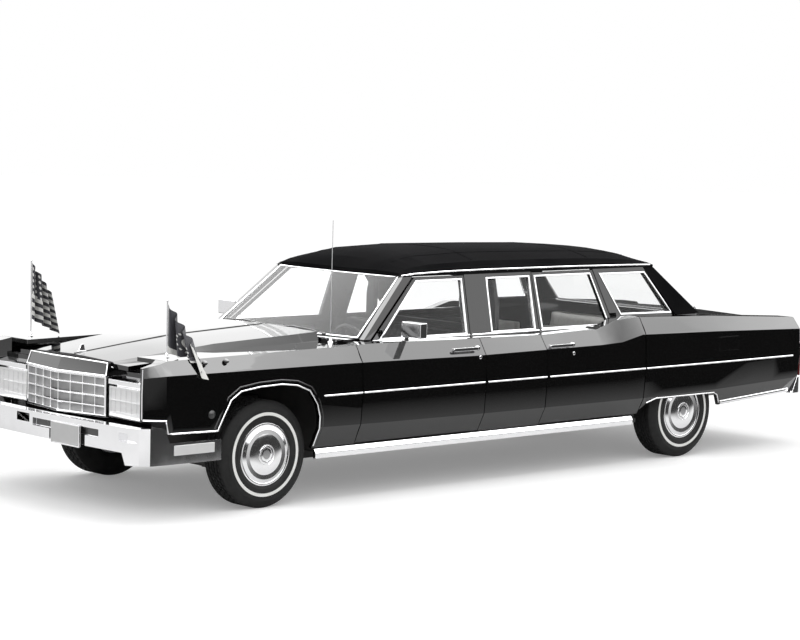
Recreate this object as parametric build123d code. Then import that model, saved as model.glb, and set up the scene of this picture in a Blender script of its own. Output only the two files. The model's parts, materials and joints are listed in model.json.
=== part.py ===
from build123d import *
import os
from math import cos, radians, sin, sqrt

# Six-window limousine with a padded roof, hidden headlamps and flag staffs on the front fenders.
# Millimetres. X runs rearwards, +Y to the car's right, Z up from the ground.
# The origin is on the ground, in the middle of the overall length and width.

# Overall
FRONT_OVERHANG = 1100.0
WHEELBASE = 4089.0
REAR_OVERHANG = 1391.0
TRACK = 1633.0
FENDER_OVERHANG = 195.5
BODY_HALF_WIDTH = TRACK / 2 + FENDER_OVERHANG
OUTSIDE_Y = BODY_HALF_WIDTH + 88

# Running gaps
GAP = 6.0
PIN_GAP = 0.3
RUN_FIT = 0.05

# Wheels
TYRE_RADIUS = 352.0
TYRE_WIDTH = 224.0
TYRE_SHOULDER = 34.0
RIM_RADIUS = 192.0
RIM_LIP_RADIUS = 205.0
BARREL_WALL = 10.0
HUB_RADIUS = 62.0
HUB_LENGTH = 70.0
SPINDLE_RADIUS = 22.0
KINGPIN_INSET = 96.5
UPRIGHT_RADIUS = 24.0
UPRIGHT_HALF = 104.0

# Body side, measured out from the centre and up from the ground
SILL_Y = BODY_HALF_WIDTH - 80
SILL_Z = 365.0
LOW_CREASE_Y = BODY_HALF_WIDTH - 17
WIDE_Z = 712.0
CREASE_Y = BODY_HALF_WIDTH - 12
BELT_Y = BODY_HALF_WIDTH - 82
GLASS_BASE_Y = BODY_HALF_WIDTH - 212
GLASS_BASE_Z = 1020.0
GLASS_TOP_Y = GLASS_BASE_Y - 128
GLASS_TOP_Z = 1445.0
SKIN = 28.0
DOOR_INNER_Y = GLASS_BASE_Y - 22
COWL_HALF = GLASS_BASE_Y - 58
FLOOR_Z = 300.0
FLOOR_THICK = 30.0
ROCKER_Z = 290.0
FRAME_DEPTH = 34.0
GLASS_THICK = 6.0
GLASS_SET = 12.0

# Doors
HINGE_BACK = 70.0
HINGE_INSET = 42.0
NOSE_THICK = 24.0
HINGE_EYE = 13.0
HINGE_PIN = 5.0
HINGE_HEIGHTS = (600.0, 820.0)
HINGE_HALF = 24.0
FRONT_DOOR_EDGE = 758.0
FRONT_DOOR_LATCH = 1900.0
REAR_DOOR_EDGE = -529.0
REAR_DOOR_LATCH = -1574.0
DOOR_FRAME_TOP_Z = 1430.0
BELT_STEP_Z = 1000.0

TOTAL_LENGTH = FRONT_OVERHANG + WHEELBASE + REAR_OVERHANG
FRONT_AXLE_X = FRONT_OVERHANG - TOTAL_LENGTH / 2
REAR_AXLE_X = FRONT_AXLE_X + WHEELBASE
HINGE_Y = BODY_HALF_WIDTH - HINGE_INSET
CABIN_LENGTH = 2802.0
CABIN_SPREAD = (WHEELBASE - FRONT_DOOR_EDGE + REAR_DOOR_EDGE) / CABIN_LENGTH


def front(distance):
    """X of a place measured rearwards from the front axle; places in the cabin spread with the wheelbase."""
    if distance <= FRONT_DOOR_EDGE:
        return FRONT_AXLE_X + distance
    return FRONT_AXLE_X + FRONT_DOOR_EDGE + (distance - FRONT_DOOR_EDGE) * CABIN_SPREAD


def rear(distance):
    """X of a place measured rearwards from the rear axle; places in the cabin spread with the wheelbase."""
    if distance >= REAR_DOOR_EDGE:
        return REAR_AXLE_X + distance
    return REAR_AXLE_X + REAR_DOOR_EDGE + (distance - REAR_DOOR_EDGE) * CABIN_SPREAD


def prism(points, span):
    """Polygon of 3-D points extruded along a vector."""
    outline = Wire.make_polygon([Vector(*point) for point in points], close=True)
    return Solid.extrude(Face(outline), Vector(*span))


def side_prism(outline, y_low, y_high):
    """Outline of (x, z) extruded across the car."""
    return prism([(x, y_low, z) for x, z in outline], (0, y_high - y_low, 0))


def cross_prism(outline, x_low, x_high):
    """Outline of (y, z) extruded along the car."""
    return prism([(x_low, y, z) for y, z in outline], (x_high - x_low, 0, 0))


def plan_prism(outline, z_low, z_high):
    """Outline of (x, y) extruded upwards."""
    return prism([(x, y, z_low) for x, y in outline], (0, 0, z_high - z_low))


def block(x_low, x_high, y_low, y_high, z_low, z_high):
    """Box between two corners."""
    outline = [(x_low, y_low), (x_high, y_low), (x_high, y_high), (x_low, y_high)]
    return plan_prism(outline, z_low, z_high)


def skin_loft(sections):
    """Ruled loft through (x, [(y, z), ...]) sections."""
    wires = [Wire.make_polygon([Vector(x, y, z) for y, z in outline], close=True) for x, outline in sections]
    return Solid.make_loft(wires, True)


def rod(start, end, radius):
    """Round bar between two points."""
    line = Vector(*end) - Vector(*start)
    return Solid.make_cylinder(radius, line.length, Plane(origin=start, z_dir=line))


def upright_rod(x, y, z_low, z_high, radius):
    """Vertical round bar."""
    return rod((x, y, z_low), (x, y, z_high), radius)


def turned(profile, origin, axis):
    """Profile of (radius, height) turned about an axis that starts at the origin."""
    plane = Plane(origin=origin, z_dir=axis)
    points = [plane.origin + plane.x_dir * radius + plane.z_dir * height for radius, height in profile]
    face = Face(Wire.make_polygon(points, close=True))
    return Solid.revolve(face, 360, Axis(plane.origin, plane.z_dir))


def both_sides(left):
    """The left-hand piece and its mirror image as one node."""
    return pieces(left, mirror(left, about=Plane.XZ))


def pieces(*shapes):
    """Solids of several shapes in one node."""
    solids = []
    for shape in shapes:
        solids.extend(shape.solids())
    return Compound(children=solids)


# Side surface of the body, a row for each station:
# x, half width, low crease z, upper crease z, belt z
STATIONS = (
    (front(-800), BODY_HALF_WIDTH - 8, 520.0, 915.0, 1000.0),
    (front(550), BODY_HALF_WIDTH, 505.0, 915.0, 1020.0),
    (front(900), BODY_HALF_WIDTH, 500.0, 912.0, 1026.0),
    (front(1810), BODY_HALF_WIDTH, 494.0, 902.0, 1014.0),
    (rear(-1559), BODY_HALF_WIDTH, 492.0, 908.0, 1008.0),
    (rear(-999), BODY_HALF_WIDTH, 490.0, 912.0, 1018.0),
    (rear(-780), BODY_HALF_WIDTH, 490.0, 922.0, 1078.0),
    (rear(-559), BODY_HALF_WIDTH, 490.0, 966.0, 1090.0),
    (rear(291), BODY_HALF_WIDTH, 505.0, 952.0, 1065.0),
    (rear(1331), BODY_HALF_WIDTH - 27, 536.0, 922.0, 1010.0),
)


def station(x):
    """Half width, low crease z, upper crease z and belt z at a place along the car."""
    rows = STATIONS
    if x <= rows[0][0]:
        return rows[0][1:]
    for before, after in zip(rows, rows[1:]):
        if x <= after[0]:
            share = (x - before[0]) / (after[0] - before[0])
            return tuple(a + (b - a) * share for a, b in zip(before[1:], after[1:]))
    return rows[-1][1:]


def side_line(x, inset=0.0):
    """Outer side line of (y, z) on the left, from the sill to the belt edge, moved in by an inset."""
    half, low_z, crease_z, belt_z = station(x)
    narrow = BODY_HALF_WIDTH - half + inset
    return [
        (-(SILL_Y - narrow), SILL_Z),
        (-(LOW_CREASE_Y - narrow), low_z),
        (-(BODY_HALF_WIDTH - narrow), WIDE_Z),
        (-(CREASE_Y - narrow), crease_z),
        (-(BELT_Y - narrow), belt_z - inset),
    ]


def spans(x_low, x_high):
    """The two ends and every station between them."""
    inner = [row[0] for row in STATIONS if x_low + 1 < row[0] < x_high - 1]
    return [x_low] + inner + [x_high]


def side_slab(x_low, x_high, inner_y):
    """Thick left-hand side of the body between two places, to an upright inner face."""
    sections = []
    for x in spans(x_low, x_high):
        line = side_line(x)
        belt = line[-1][1]
        outline = line + [(-GLASS_BASE_Y + 6, belt + 4), (-inner_y, belt - 20), (-inner_y, SILL_Z)]
        sections.append((x, outline))
    return skin_loft(sections)


def side_shell(x_low, x_high, shelf_y):
    """Thin left-hand skin, with a flat shelf from the belt edge in to shelf_y."""
    sections = []
    for x in spans(x_low, x_high):
        outer = side_line(x)
        inner = side_line(x, SKIN)
        top = outer[-1][1]
        shelf = [(-shelf_y, top - 2), (-shelf_y, top - 2 - SKIN)]
        sections.append((x, outer + shelf + inner[::-1]))
    return skin_loft(sections)


def greenhouse_y(z):
    """Y of the outer face of the side windows at a height, on the left."""
    share = (z - GLASS_BASE_Z) / (GLASS_TOP_Z - GLASS_BASE_Z)
    return -(GLASS_BASE_Y + (GLASS_TOP_Y - GLASS_BASE_Y) * share)


def leaning_slab(depth_out, depth_in, z_low, z_high):
    """Left-hand slab that leans in like the side windows, between two depths behind their outer face."""
    outline = [
        (greenhouse_y(z_low) + depth_out, z_low),
        (greenhouse_y(z_high) + depth_out, z_high),
        (greenhouse_y(z_high) + depth_in, z_high),
        (greenhouse_y(z_low) + depth_in, z_low),
    ]
    return cross_prism(outline, -TOTAL_LENGTH / 2, TOTAL_LENGTH / 2)


def leaning_plate(outline, depth_out, depth_in):
    """Outline of (x, z) cut from the leaning slab."""
    low = min(z for x, z in outline) - 1
    high = max(z for x, z in outline) + 1
    return side_prism(outline, -BODY_HALF_WIDTH, -400) & leaning_slab(depth_out, depth_in, low, high)


# Wheels


def tyre(x, side):
    """Tyre with rounded shoulders, open in the middle for the rim."""
    half = TYRE_WIDTH / 2
    profile = [
        (RIM_RADIUS, -half + 22),
        (RIM_RADIUS + 60, -half),
        (TYRE_RADIUS - TYRE_SHOULDER, -half + 4),
        (TYRE_RADIUS, -half + TYRE_SHOULDER),
        (TYRE_RADIUS, half - TYRE_SHOULDER),
        (TYRE_RADIUS - TYRE_SHOULDER, half - 4),
        (RIM_RADIUS + 60, half),
        (RIM_RADIUS, half - 22),
    ]
    return turned(profile, (x, side * TRACK / 2, TYRE_RADIUS), (0, 1, 0))


def rim(x, side):
    """Steel wheel with a covered face: barrel, disc and hub with the spindle's bore."""
    half = TYRE_WIDTH / 2
    outer = half - 22
    barrel_in = RIM_RADIUS - BARREL_WALL
    profile = [
        (RIM_RADIUS, -outer),
        (RIM_RADIUS, outer),
        (RIM_LIP_RADIUS - 12, outer + 10),
        (RIM_RADIUS - 30, outer + 22),
        (HUB_RADIUS + 20, outer + 16),
        (HUB_RADIUS - 2, outer + 26),
        (30, outer + 30),
        (0, outer + 30),
        (0, outer - 12),
        (SPINDLE_RADIUS + RUN_FIT, outer - 12),
        (SPINDLE_RADIUS + RUN_FIT, outer - 12 - HUB_LENGTH),
        (HUB_RADIUS, outer - 12 - HUB_LENGTH),
        (HUB_RADIUS, outer - 12),
        (barrel_in, outer - 16),
        (barrel_in, -outer),
    ]
    return turned(profile, (x, side * TRACK / 2, TYRE_RADIUS), (0, side, 0))


def spindle_end():
    """Distance from the track line to the outer end of a spindle."""
    return TYRE_WIDTH / 2 - 22 - 12 - PIN_GAP


def knuckle(side):
    """Steering knuckle: upright with its kingpin stubs, spindle and steering arm."""
    x = FRONT_AXLE_X
    kingpin_y = side * (TRACK / 2 - KINGPIN_INSET)
    z = TYRE_RADIUS
    post = upright_rod(x, kingpin_y, z - UPRIGHT_HALF, z + UPRIGHT_HALF, UPRIGHT_RADIUS)
    stubs = upright_rod(x, kingpin_y, z - UPRIGHT_HALF - 34, z + UPRIGHT_HALF + 34, UPRIGHT_RADIUS / 2)
    spindle = rod((x, kingpin_y, z), (x, side * (TRACK / 2 + spindle_end()), z), SPINDLE_RADIUS)
    arm_y = kingpin_y - side * 20
    arm = rod((x, kingpin_y, z - 60), (x + 130, arm_y, z - 60), 11)
    return post + stubs + spindle + arm


# Doors, built on the left: u runs from the hinge along the door, v runs inboard


def hinge_leaf(z):
    """Fixed half of a hinge: an eye on a flat arm that reaches in to the post."""
    eye = upright_rod(0, 0, z - HINGE_HALF, z + HINGE_HALF, HINGE_EYE)
    arm = block(-HINGE_EYE - 6, -3, 0, HINGE_BACK + 32, z - HINGE_HALF, z + HINGE_HALF)
    bore = upright_rod(0, 0, z - HINGE_HALF - 1, z + HINGE_HALF + 1, HINGE_PIN + RUN_FIT)
    return eye + arm - bore


def hinge_fork(z, face_u):
    """Moving half of a hinge: two lugs and the pin."""
    fork = upright_rod(0, 0, z - HINGE_HALF - 12, z + HINGE_HALF + 12, HINGE_PIN)
    for low in (z - HINGE_HALF - 12, z + HINGE_HALF + PIN_GAP):
        fork = fork + upright_rod(0, 0, low, low + 12 - PIN_GAP, HINGE_EYE)
        fork = fork + block(0, face_u + 1, -HINGE_EYE, HINGE_EYE, low, low + 12 - PIN_GAP)
    return fork


def to_hinge(shape, axis_x, direction):
    """Places a shape of (u, v) at a hinge on the left; direction is +1 where the door runs rearwards."""
    if direction < 0:
        shape = mirror(shape, about=Plane.YZ)
    return shape.moved(Location((axis_x, -HINGE_Y, 0)))


def swing_ring(reach, z_low, z_high, axis_x):
    """Upright drum about a door's hinge axis."""
    return upright_rod(axis_x, -HINGE_Y, z_low, z_high, reach)


CAP_REACH = 150.0
CAP_Z = 960.0
POCKET_U = 20.0


def fixed_shelf(axis_x, direction):
    """Room above a hinge that stays with the fixed body, inboard of the door's swinging cap."""
    inner = block(-120, POCKET_U - GAP, 0, 400, CAP_Z, 1300)
    inner = to_hinge(inner, axis_x, direction)
    return inner - swing_ring(CAP_REACH + GAP, CAP_Z - 1, 1301, axis_x)


def nose_core(x_low, x_high, depth):
    """Room inboard of the outer skin of the left-hand side, a depth behind it."""
    sections = []
    for x in spans(x_low, x_high):
        line = side_line(x, depth)
        line[0] = (line[0][0], SILL_Z - 60)
        top = line[-1][1]
        sections.append((x, line + [(-500, top + 2), (-500, SILL_Z - 60)]))
    return skin_loft(sections)


def nose_envelope(axis_x, extra):
    """Solid swept by the door's leading edge as the door swings, with a margin."""
    rows = []
    half, low_z, crease_z, belt_z = station(axis_x)
    levels = ((SILL_Z - 10, SILL_Y), (low_z, LOW_CREASE_Y), (WIDE_Z, half), (crease_z, CREASE_Y), (belt_z, BELT_Y),
              (belt_z + 40, BELT_Y))
    for z, y in levels:
        overhang = max(0.0, y - HINGE_Y)
        rows.append((sqrt(HINGE_BACK ** 2 + overhang ** 2) + extra, z))
    profile = [(0, levels[0][0])] + rows + [(0, levels[-1][0])]
    return turned(profile, (axis_x, -HINGE_Y, 0), (0, 0, 1))


class DoorPlan:
    """Places of one left-hand door; direction is +1 where it is hinged at its front edge."""

    def __init__(self, edge_x, latch_x, direction, frame_base, frame_top, window_base, window_top):
        self.edge_x = edge_x
        self.latch_x = latch_x
        self.direction = direction
        self.axis_x = edge_x + direction * HINGE_BACK
        self.reach = abs(latch_x - self.axis_x)
        self.frame_base = frame_base
        self.frame_top = frame_top
        self.window_base = window_base
        self.window_top = window_top


FRONT_DOOR = DoorPlan(
    edge_x=front(FRONT_DOOR_EDGE),
    latch_x=front(FRONT_DOOR_LATCH),
    direction=1,
    frame_base=(front(1010), front(1938)),
    frame_top=(front(1502), front(1976)),
    window_base=(front(1075), front(1905)),
    window_top=(front(1520), front(1945)),
)
REAR_DOOR = DoorPlan(
    edge_x=rear(REAR_DOOR_EDGE),
    latch_x=rear(REAR_DOOR_LATCH),
    direction=-1,
    frame_base=(rear(-1450), rear(-665)),
    frame_top=(rear(-1430), rear(-785)),
    window_base=(rear(-1420), rear(-715)),
    window_top=(rear(-1405), rear(-822)),
)
WINDOW_SILL_Z = 1032.0
WINDOW_HEAD_Z = 1408.0


def frame_drum(plan, margin=0.0):
    """Drum about a door's hinge axis, out to the latch edge of its window frame at each height."""
    rows = []
    for z, place in ((BELT_STEP_Z, 0), (GLASS_BASE_Z, 0), (DOOR_FRAME_TOP_Z, 1)):
        ends = plan.frame_top if place else plan.frame_base
        far = ends[1] if plan.direction > 0 else ends[0]
        inboard = HINGE_Y + greenhouse_y(z)
        rows.append((sqrt((far - plan.axis_x) ** 2 + inboard ** 2) + margin, z))
    low = (rows[0][0], BELT_STEP_Z - margin)
    high = (rows[-1][0], DOOR_FRAME_TOP_Z + margin)
    profile = [(0, low[1]), low] + rows[1:] + [high, (0, high[1])]
    if margin == 0:
        profile = [(0, low[1])] + rows + [(0, high[1])]
    return turned(profile, (plan.axis_x, -HINGE_Y, 0), (0, 0, 1))


def inner_strip(margin=0.0):
    """Zone of the window frames: above the belt step and inboard of the shoulder."""
    return block(-TOTAL_LENGTH, TOTAL_LENGTH, -GLASS_BASE_Y - 8 - margin, -400, BELT_STEP_Z - margin, 1500)


def frame_outline(plan, grow=0.0):
    """Outline of (x, z) of the door's window frame, from inside the belt to the roof rail."""
    low = BELT_STEP_Z
    rise = (GLASS_BASE_Z - low) / (DOOR_FRAME_TOP_Z - GLASS_BASE_Z)
    base = [b - (t - b) * rise for b, t in zip(plan.frame_base, plan.frame_top)]
    return [
        (base[0] - grow, low),
        (base[1] + grow, low),
        (plan.frame_top[1] + grow, DOOR_FRAME_TOP_Z + grow),
        (plan.frame_top[0] - grow, DOOR_FRAME_TOP_Z + grow),
    ]


def window_outline(plan):
    """Outline of (x, z) of the door's window."""
    return [
        (plan.window_base[0], WINDOW_SILL_Z),
        (plan.window_base[1], WINDOW_SILL_Z),
        (plan.window_top[1], WINDOW_HEAD_Z),
        (plan.window_top[0], WINDOW_HEAD_Z),
    ]


def door_limits(plan, margin=0.0):
    """Room of the door below the belt: between its leading edge and the drum of its latch edge."""
    edge = plan.edge_x - plan.direction * margin
    far = plan.axis_x + plan.direction * (plan.reach + 400)
    room = block(min(edge, far), max(edge, far), -OUTSIDE_Y, -600, SILL_Z - 100, 1300)
    return room & swing_ring(plan.reach + margin, SILL_Z - 100, 1300, plan.axis_x)


def door(plan):
    """Door with its leading nose, hinge forks and window frame."""
    low_x = min(plan.edge_x, plan.latch_x) - 30
    high_x = max(plan.edge_x, plan.latch_x) + 30
    shell = side_slab(low_x, high_x, DOOR_INNER_Y) & door_limits(plan)
    shell = shell - block(low_x - 99, high_x + 99, -OUTSIDE_Y, -500, SILL_Z - 99, SILL_Z + GAP)
    shell = shell - (inner_strip(GAP) - frame_drum(plan))
    near = to_hinge(block(-200, POCKET_U, -200, 400, SILL_Z - 99, 1300), plan.axis_x, plan.direction)
    shell = shell - (near & nose_core(low_x, high_x, NOSE_THICK))
    eye_room = HINGE_HALF + 18
    pocket = block(-200, POCKET_U, -HINGE_EYE - GAP, 300, HINGE_HEIGHTS[0] - eye_room, HINGE_HEIGHTS[1] + eye_room)
    shell = shell - to_hinge(pocket, plan.axis_x, plan.direction)
    shell = shell - (near - swing_ring(CAP_REACH, SILL_Z - 99, 1300, plan.axis_x))
    for z in HINGE_HEIGHTS:
        shell = shell + to_hinge(hinge_fork(z, POCKET_U), plan.axis_x, plan.direction)
    frame = leaning_plate(frame_outline(plan), 0, FRAME_DEPTH) & frame_drum(plan)
    shell = shell + frame
    opening = leaning_plate(window_outline(plan), -60, FRAME_DEPTH + 60)
    return shell - opening


def door_glass(plan):
    """Window glass of a door, seated in its frame."""
    return leaning_plate(window_outline(plan), GLASS_SET, GLASS_SET + GLASS_THICK)


# Fixed body on the left


def door_cutters(plan):
    """Room that the fixed body leaves for a door: its swept leading edge, its drum and its window frame."""
    far = plan.axis_x + plan.direction * (plan.reach + 400)
    edge = plan.edge_x - plan.direction * GAP
    room = block(min(edge, far), max(edge, far), -OUTSIDE_Y, -DOOR_INNER_Y + GAP, SILL_Z + 0.3 - GAP, 1300)
    room = room & swing_ring(plan.reach + GAP, SILL_Z - 100, 1300, plan.axis_x)
    room = room - fixed_shelf(plan.axis_x, plan.direction)
    return [room, nose_envelope(plan.axis_x, GAP)]


def hinge_post(plan):
    """Upright box section that carries the hinges of a door."""
    post = block(-112, 8, HINGE_BACK + 30, 200, FLOOR_Z + FLOOR_THICK, 985)
    for z in HINGE_HEIGHTS:
        post = post + hinge_leaf(z)
    return to_hinge(post, plan.axis_x, plan.direction)


FRONT_ARCH = (
    (front(-452), 300.0),
    (front(-443), 515.0),
    (front(-410), 616.0),
    (front(-350), 732.0),
    (front(-270), 781.0),
    (front(-120), 800.0),
    (front(60), 806.0),
    (front(188), 792.0),
    (front(291), 752.0),
    (front(358), 662.0),
    (front(386), 580.0),
    (front(390), 501.0),
    (front(378), 300.0),
)
REAR_ARCH = (
    (rear(-585), 300.0),
    (rear(-541), 382.0),
    (rear(-469), 444.0),
    (rear(-379), 474.0),
    (rear(290), 474.0),
    (rear(340), 455.0),
    (rear(411), 375.0),
    (rear(440), 300.0),
)


def front_fender():
    """Left front fender: skin with its top shelf, wheel opening and blade at the front corner."""
    x_low = front(-800)
    x_high = FRONT_DOOR.edge_x - GAP
    shell = side_shell(x_low, x_high + HINGE_BACK + POCKET_U, HOOD_HALF + 10)
    wide = BODY_HALF_WIDTH
    inner = -FENDER_INNER_Y
    sections = [
        (front(-1004), [(-wide + 74, 636), (-wide + 69, 712), (-wide + 68, 905), (-wide + 76, 966), (-wide + 92, 968),
                        (-wide + 92, 636)]),
        (front(-862), [(-wide + 22, 560), (-wide + 9, 712), (-wide + 12, 916), (-wide + 84, 984), (inner - 40, 978),
                       (inner - 40, 560)]),
        (x_low, [(-wide + 25, 545), (-wide + 8, 712), (-wide + 20, 915), (-wide + 90, 1000), (inner, 998), (inner, 545)]),
    ]
    shell = shell + skin_loft(sections)
    shell = shell - side_prism(FRONT_ARCH, -OUTSIDE_Y, -500)
    lower = [(x_low + 400, 200), (x_low + 400, 540), (front(-835), 552), (front(-856), 632), (front(-1100), 640),
             (front(-1100), 200)]
    shell = shell - side_prism(lower, -OUTSIDE_Y, -500)
    for cutter in door_cutters(FRONT_DOOR):
        shell = shell - cutter
    return shell - block(front(HOOD_REAR + 12) - PIN_GAP, front(1000), -COWL_HALF - PIN_GAP, -400, 900, 1100)


def centre_panel():
    """Fixed panel between the doors with the window frame above it."""
    x_low = FRONT_DOOR.latch_x - 60
    x_high = REAR_DOOR.latch_x + 60
    shell = side_slab(x_low, x_high, DOOR_INNER_Y)
    frame = leaning_plate(
        [(front(1900), BELT_STEP_Z), (rear(-1420), BELT_STEP_Z), (rear(-1400), 1437.7), (front(1940), 1437.7)],
        0, FRAME_DEPTH)
    shell = shell + frame
    shell = shell - block(x_low - 300, x_high + 300, -OUTSIDE_Y, -500, 200, SILL_Z)
    for plan in (FRONT_DOOR, REAR_DOOR):
        shell = shell - (door_limits(plan, GAP) - inner_strip())
        shell = shell - (frame_drum(plan, GAP) & inner_strip(GAP))
    return shell - leaning_plate(centre_window(), -60, FRAME_DEPTH + 60)


def centre_window():
    """Outline of (x, z) of the fixed window between the doors."""
    return [
        (front(2158), WINDOW_SILL_Z),
        (rear(-1498), WINDOW_SILL_Z),
        (rear(-1466), WINDOW_HEAD_Z),
        (front(2196), WINDOW_HEAD_Z),
    ]


def quarter_window():
    """Outline of (x, z) of the window behind the rear door."""
    return [(rear(-560), 1100.0), (rear(10), 1092.0), (rear(-225), 1400.0), (rear(-715), 1402.0)]


def rear_quarter():
    """Left rear quarter: skin over the rear wheel, deck shelf and window frame."""
    x_low = REAR_DOOR.edge_x + GAP
    x_high = TAIL_FACE_X
    shell = side_shell(x_low - 70, x_high, 745.0)
    frame = leaning_plate(
        [(rear(-700), BELT_STEP_Z), (rear(292), BELT_STEP_Z + 40), (rear(292), 1075.0), (rear(-150), 1437.7),
         (rear(-780), 1437.7)], 0, FRAME_DEPTH)
    shell = shell + frame
    shell = shell - side_prism(REAR_ARCH, -OUTSIDE_Y, -500)
    shell = shell - side_prism(bumper_end(PIN_GAP), -OUTSIDE_Y, -500)
    lower = [(rear(400), 300), (rear(400), 371), (rear(1330), 428), (rear(1330), 300)]
    shell = shell - side_prism(lower, -OUTSIDE_Y, -500)
    for cutter in door_cutters(REAR_DOOR):
        shell = shell - cutter
    shell = shell - side_prism(frame_outline(REAR_DOOR, GAP), -OUTSIDE_Y, -500)
    return shell - leaning_plate(quarter_window(), -60, FRAME_DEPTH + 60)


def body_glass():
    """Fixed glass: windscreen, rear window and the side windows that do not open."""
    sides = []
    for outline in (centre_window(), quarter_window()):
        sides.append(both_sides(leaning_plate(outline, GLASS_SET, GLASS_SET + GLASS_THICK)))
    return pieces(windscreen(), rear_window(), *sides)


SCREEN_BASE = (front(936), front(862), COWL_HALF + 2, 1040.3)
SCREEN_TOP = (front(1398), front(1362), GLASS_TOP_Y - 41, 1437.7)


def bowed_strip(edge_x, middle_x, half_y, z, depth):
    """Horizontal curved strip of glass at one height."""
    outer = ThreePointArc((edge_x, -half_y, z), (middle_x, 0, z), (edge_x, half_y, z)).edge()
    inner = ThreePointArc((edge_x + depth, -half_y, z), (middle_x + depth, 0, z), (edge_x + depth, half_y, z)).edge()
    ends = [Edge.make_line(outer @ 0, inner @ 0), Edge.make_line(outer @ 1, inner @ 1)]
    return Wire([outer, ends[1], inner, ends[0]])


def windscreen():
    """Bowed windscreen between the front posts."""
    return Solid.make_loft([bowed_strip(*SCREEN_BASE, 9.0), bowed_strip(*SCREEN_TOP, 9.0)], True)


def rear_window():
    """Rear window between the rear posts."""
    base = GLASS_BASE_Y - 110
    top = GLASS_TOP_Y - 82
    low = [(rear(296), y, 1074.0) for y in (-base, base)]
    high = [(rear(-112), y, 1429.0) for y in (top, -top)]
    return prism(low + high, (8, 0, 8))


# Roof, a row for each station: x, rail z, fold z, shoulder z, crown z
ROOF_RAIL_Y = GLASS_TOP_Y + 6
ROOF_FOLD_Y = ROOF_RAIL_Y - 56
ROOF_SHOULDER_Y = ROOF_RAIL_Y - 298
ROOF_THICK = 40.0
ROOF_BASE_Z = 1438.0
ROOF_STATIONS = (
    (front(1340), 1441.0, 1445.0, 1453.0, 1457.0),
    (front(1366), 1442.0, 1450.0, 1464.0, 1470.0),
    (front(1405), 1448.0, 1463.0, 1490.0, 1502.0),
    (front(1470), 1456.0, 1483.0, 1523.0, 1540.0),
    (front(1560), 1462.0, 1500.0, 1551.0, 1570.0),
    (front(1700), 1466.0, 1513.0, 1573.0, 1592.0),
    (front(2200), 1468.0, 1526.0, 1590.0, 1606.0),
    (front(2800), 1467.0, 1522.0, 1583.0, 1600.0),
    (rear(-889), 1466.0, 1516.0, 1574.0, 1592.0),
    (rear(-600), 1463.0, 1507.0, 1563.0, 1581.0),
    (rear(-339), 1458.0, 1492.0, 1545.0, 1562.0),
    (rear(-190), 1454.0, 1477.0, 1520.0, 1536.0),
    (rear(-110), 1451.0, 1465.0, 1496.0, 1508.0),
)


def roof_section(rail, fold, shoulder, crown):
    """Outline of (y, z) across the roof."""
    middle = ROOF_SHOULDER_Y / 2
    outer = [(-ROOF_RAIL_Y, ROOF_BASE_Z), (-ROOF_RAIL_Y, rail), (-ROOF_FOLD_Y, fold), (-ROOF_SHOULDER_Y, shoulder),
             (-middle, crown - 0.25 * (crown - shoulder)), (0, crown)]
    inner_shoulder = max(shoulder - ROOF_THICK, ROOF_BASE_Z + 1)
    inner = [(0, max(crown - ROOF_THICK, ROOF_BASE_Z + 2)), (-ROOF_SHOULDER_Y, inner_shoulder),
             (-ROOF_FOLD_Y + 22, ROOF_BASE_Z)]
    right = [(-y, z) for y, z in outer[:-1]][::-1]
    inner_right = [(-y, z) for y, z in inner[1:]][::-1]
    return outer + right + inner_right + inner


def roof_front_cutter():
    """Room in front of the roof's bowed front edge, which follows the top of the windscreen."""
    edge_x, middle_x, half, z = SCREEN_TOP
    grown = ROOF_RAIL_Y / half
    end_x = middle_x + (edge_x - middle_x) * grown ** 2
    arc = ThreePointArc((end_x, -ROOF_RAIL_Y, 0), (middle_x, 0, 0), (end_x, ROOF_RAIL_Y, 0)).edge()
    ahead = front(1200)
    rest = [(end_x, ROOF_RAIL_Y, 0), (end_x, ROOF_RAIL_Y + 40, 0), (ahead, ROOF_RAIL_Y + 40, 0),
            (ahead, -ROOF_RAIL_Y - 40, 0), (end_x, -ROOF_RAIL_Y - 40, 0), (end_x, -ROOF_RAIL_Y, 0)]
    edges = [arc] + [Edge.make_line(a, b) for a, b in zip(rest, rest[1:])]
    face = Face(Wire(edges))
    return Solid.extrude(face, Vector(0, 0, 300)).moved(Location((0, 0, ROOF_BASE_Z - 10)))


def roof():
    """Padded roof with its front, centre and rear posts."""
    sections = [(x, roof_section(rail, fold, shoulder, crown)) for x, rail, fold, shoulder, crown in ROOF_STATIONS]
    shell = skin_loft(sections) - roof_front_cutter()
    base_in = GLASS_BASE_Y - 55
    front_post = post(((front(940), front(1000)), (-GLASS_BASE_Y, -base_in)),
                      ((front(1405), front(1490)), (-ROOF_RAIL_Y + 4, -ROOF_RAIL_Y + 46)), 1036, ROOF_BASE_Z + 2)
    rear_post = post(((rear(30), rear(300)), (-GLASS_BASE_Y, -GLASS_BASE_Y + 100)),
                     ((rear(-225), rear(-118)), (-ROOF_RAIL_Y + 4, -ROOF_RAIL_Y + 78)), 1078, ROOF_BASE_Z + 4)
    front_post = front_post - side_prism(frame_outline(FRONT_DOOR, GAP), -OUTSIDE_Y, -500)
    front_post = front_post - block(-TOTAL_LENGTH, TOTAL_LENGTH, -OUTSIDE_Y, -500, ROOF_BASE_Z, 1500)
    rear_post = rear_post - side_prism(quarter_window(), -OUTSIDE_Y, -500)
    rear_post = rear_post - leaning_slab(-1, FRAME_DEPTH, 990, 1447)
    return shell + both_sides(front_post + rear_post)


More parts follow.
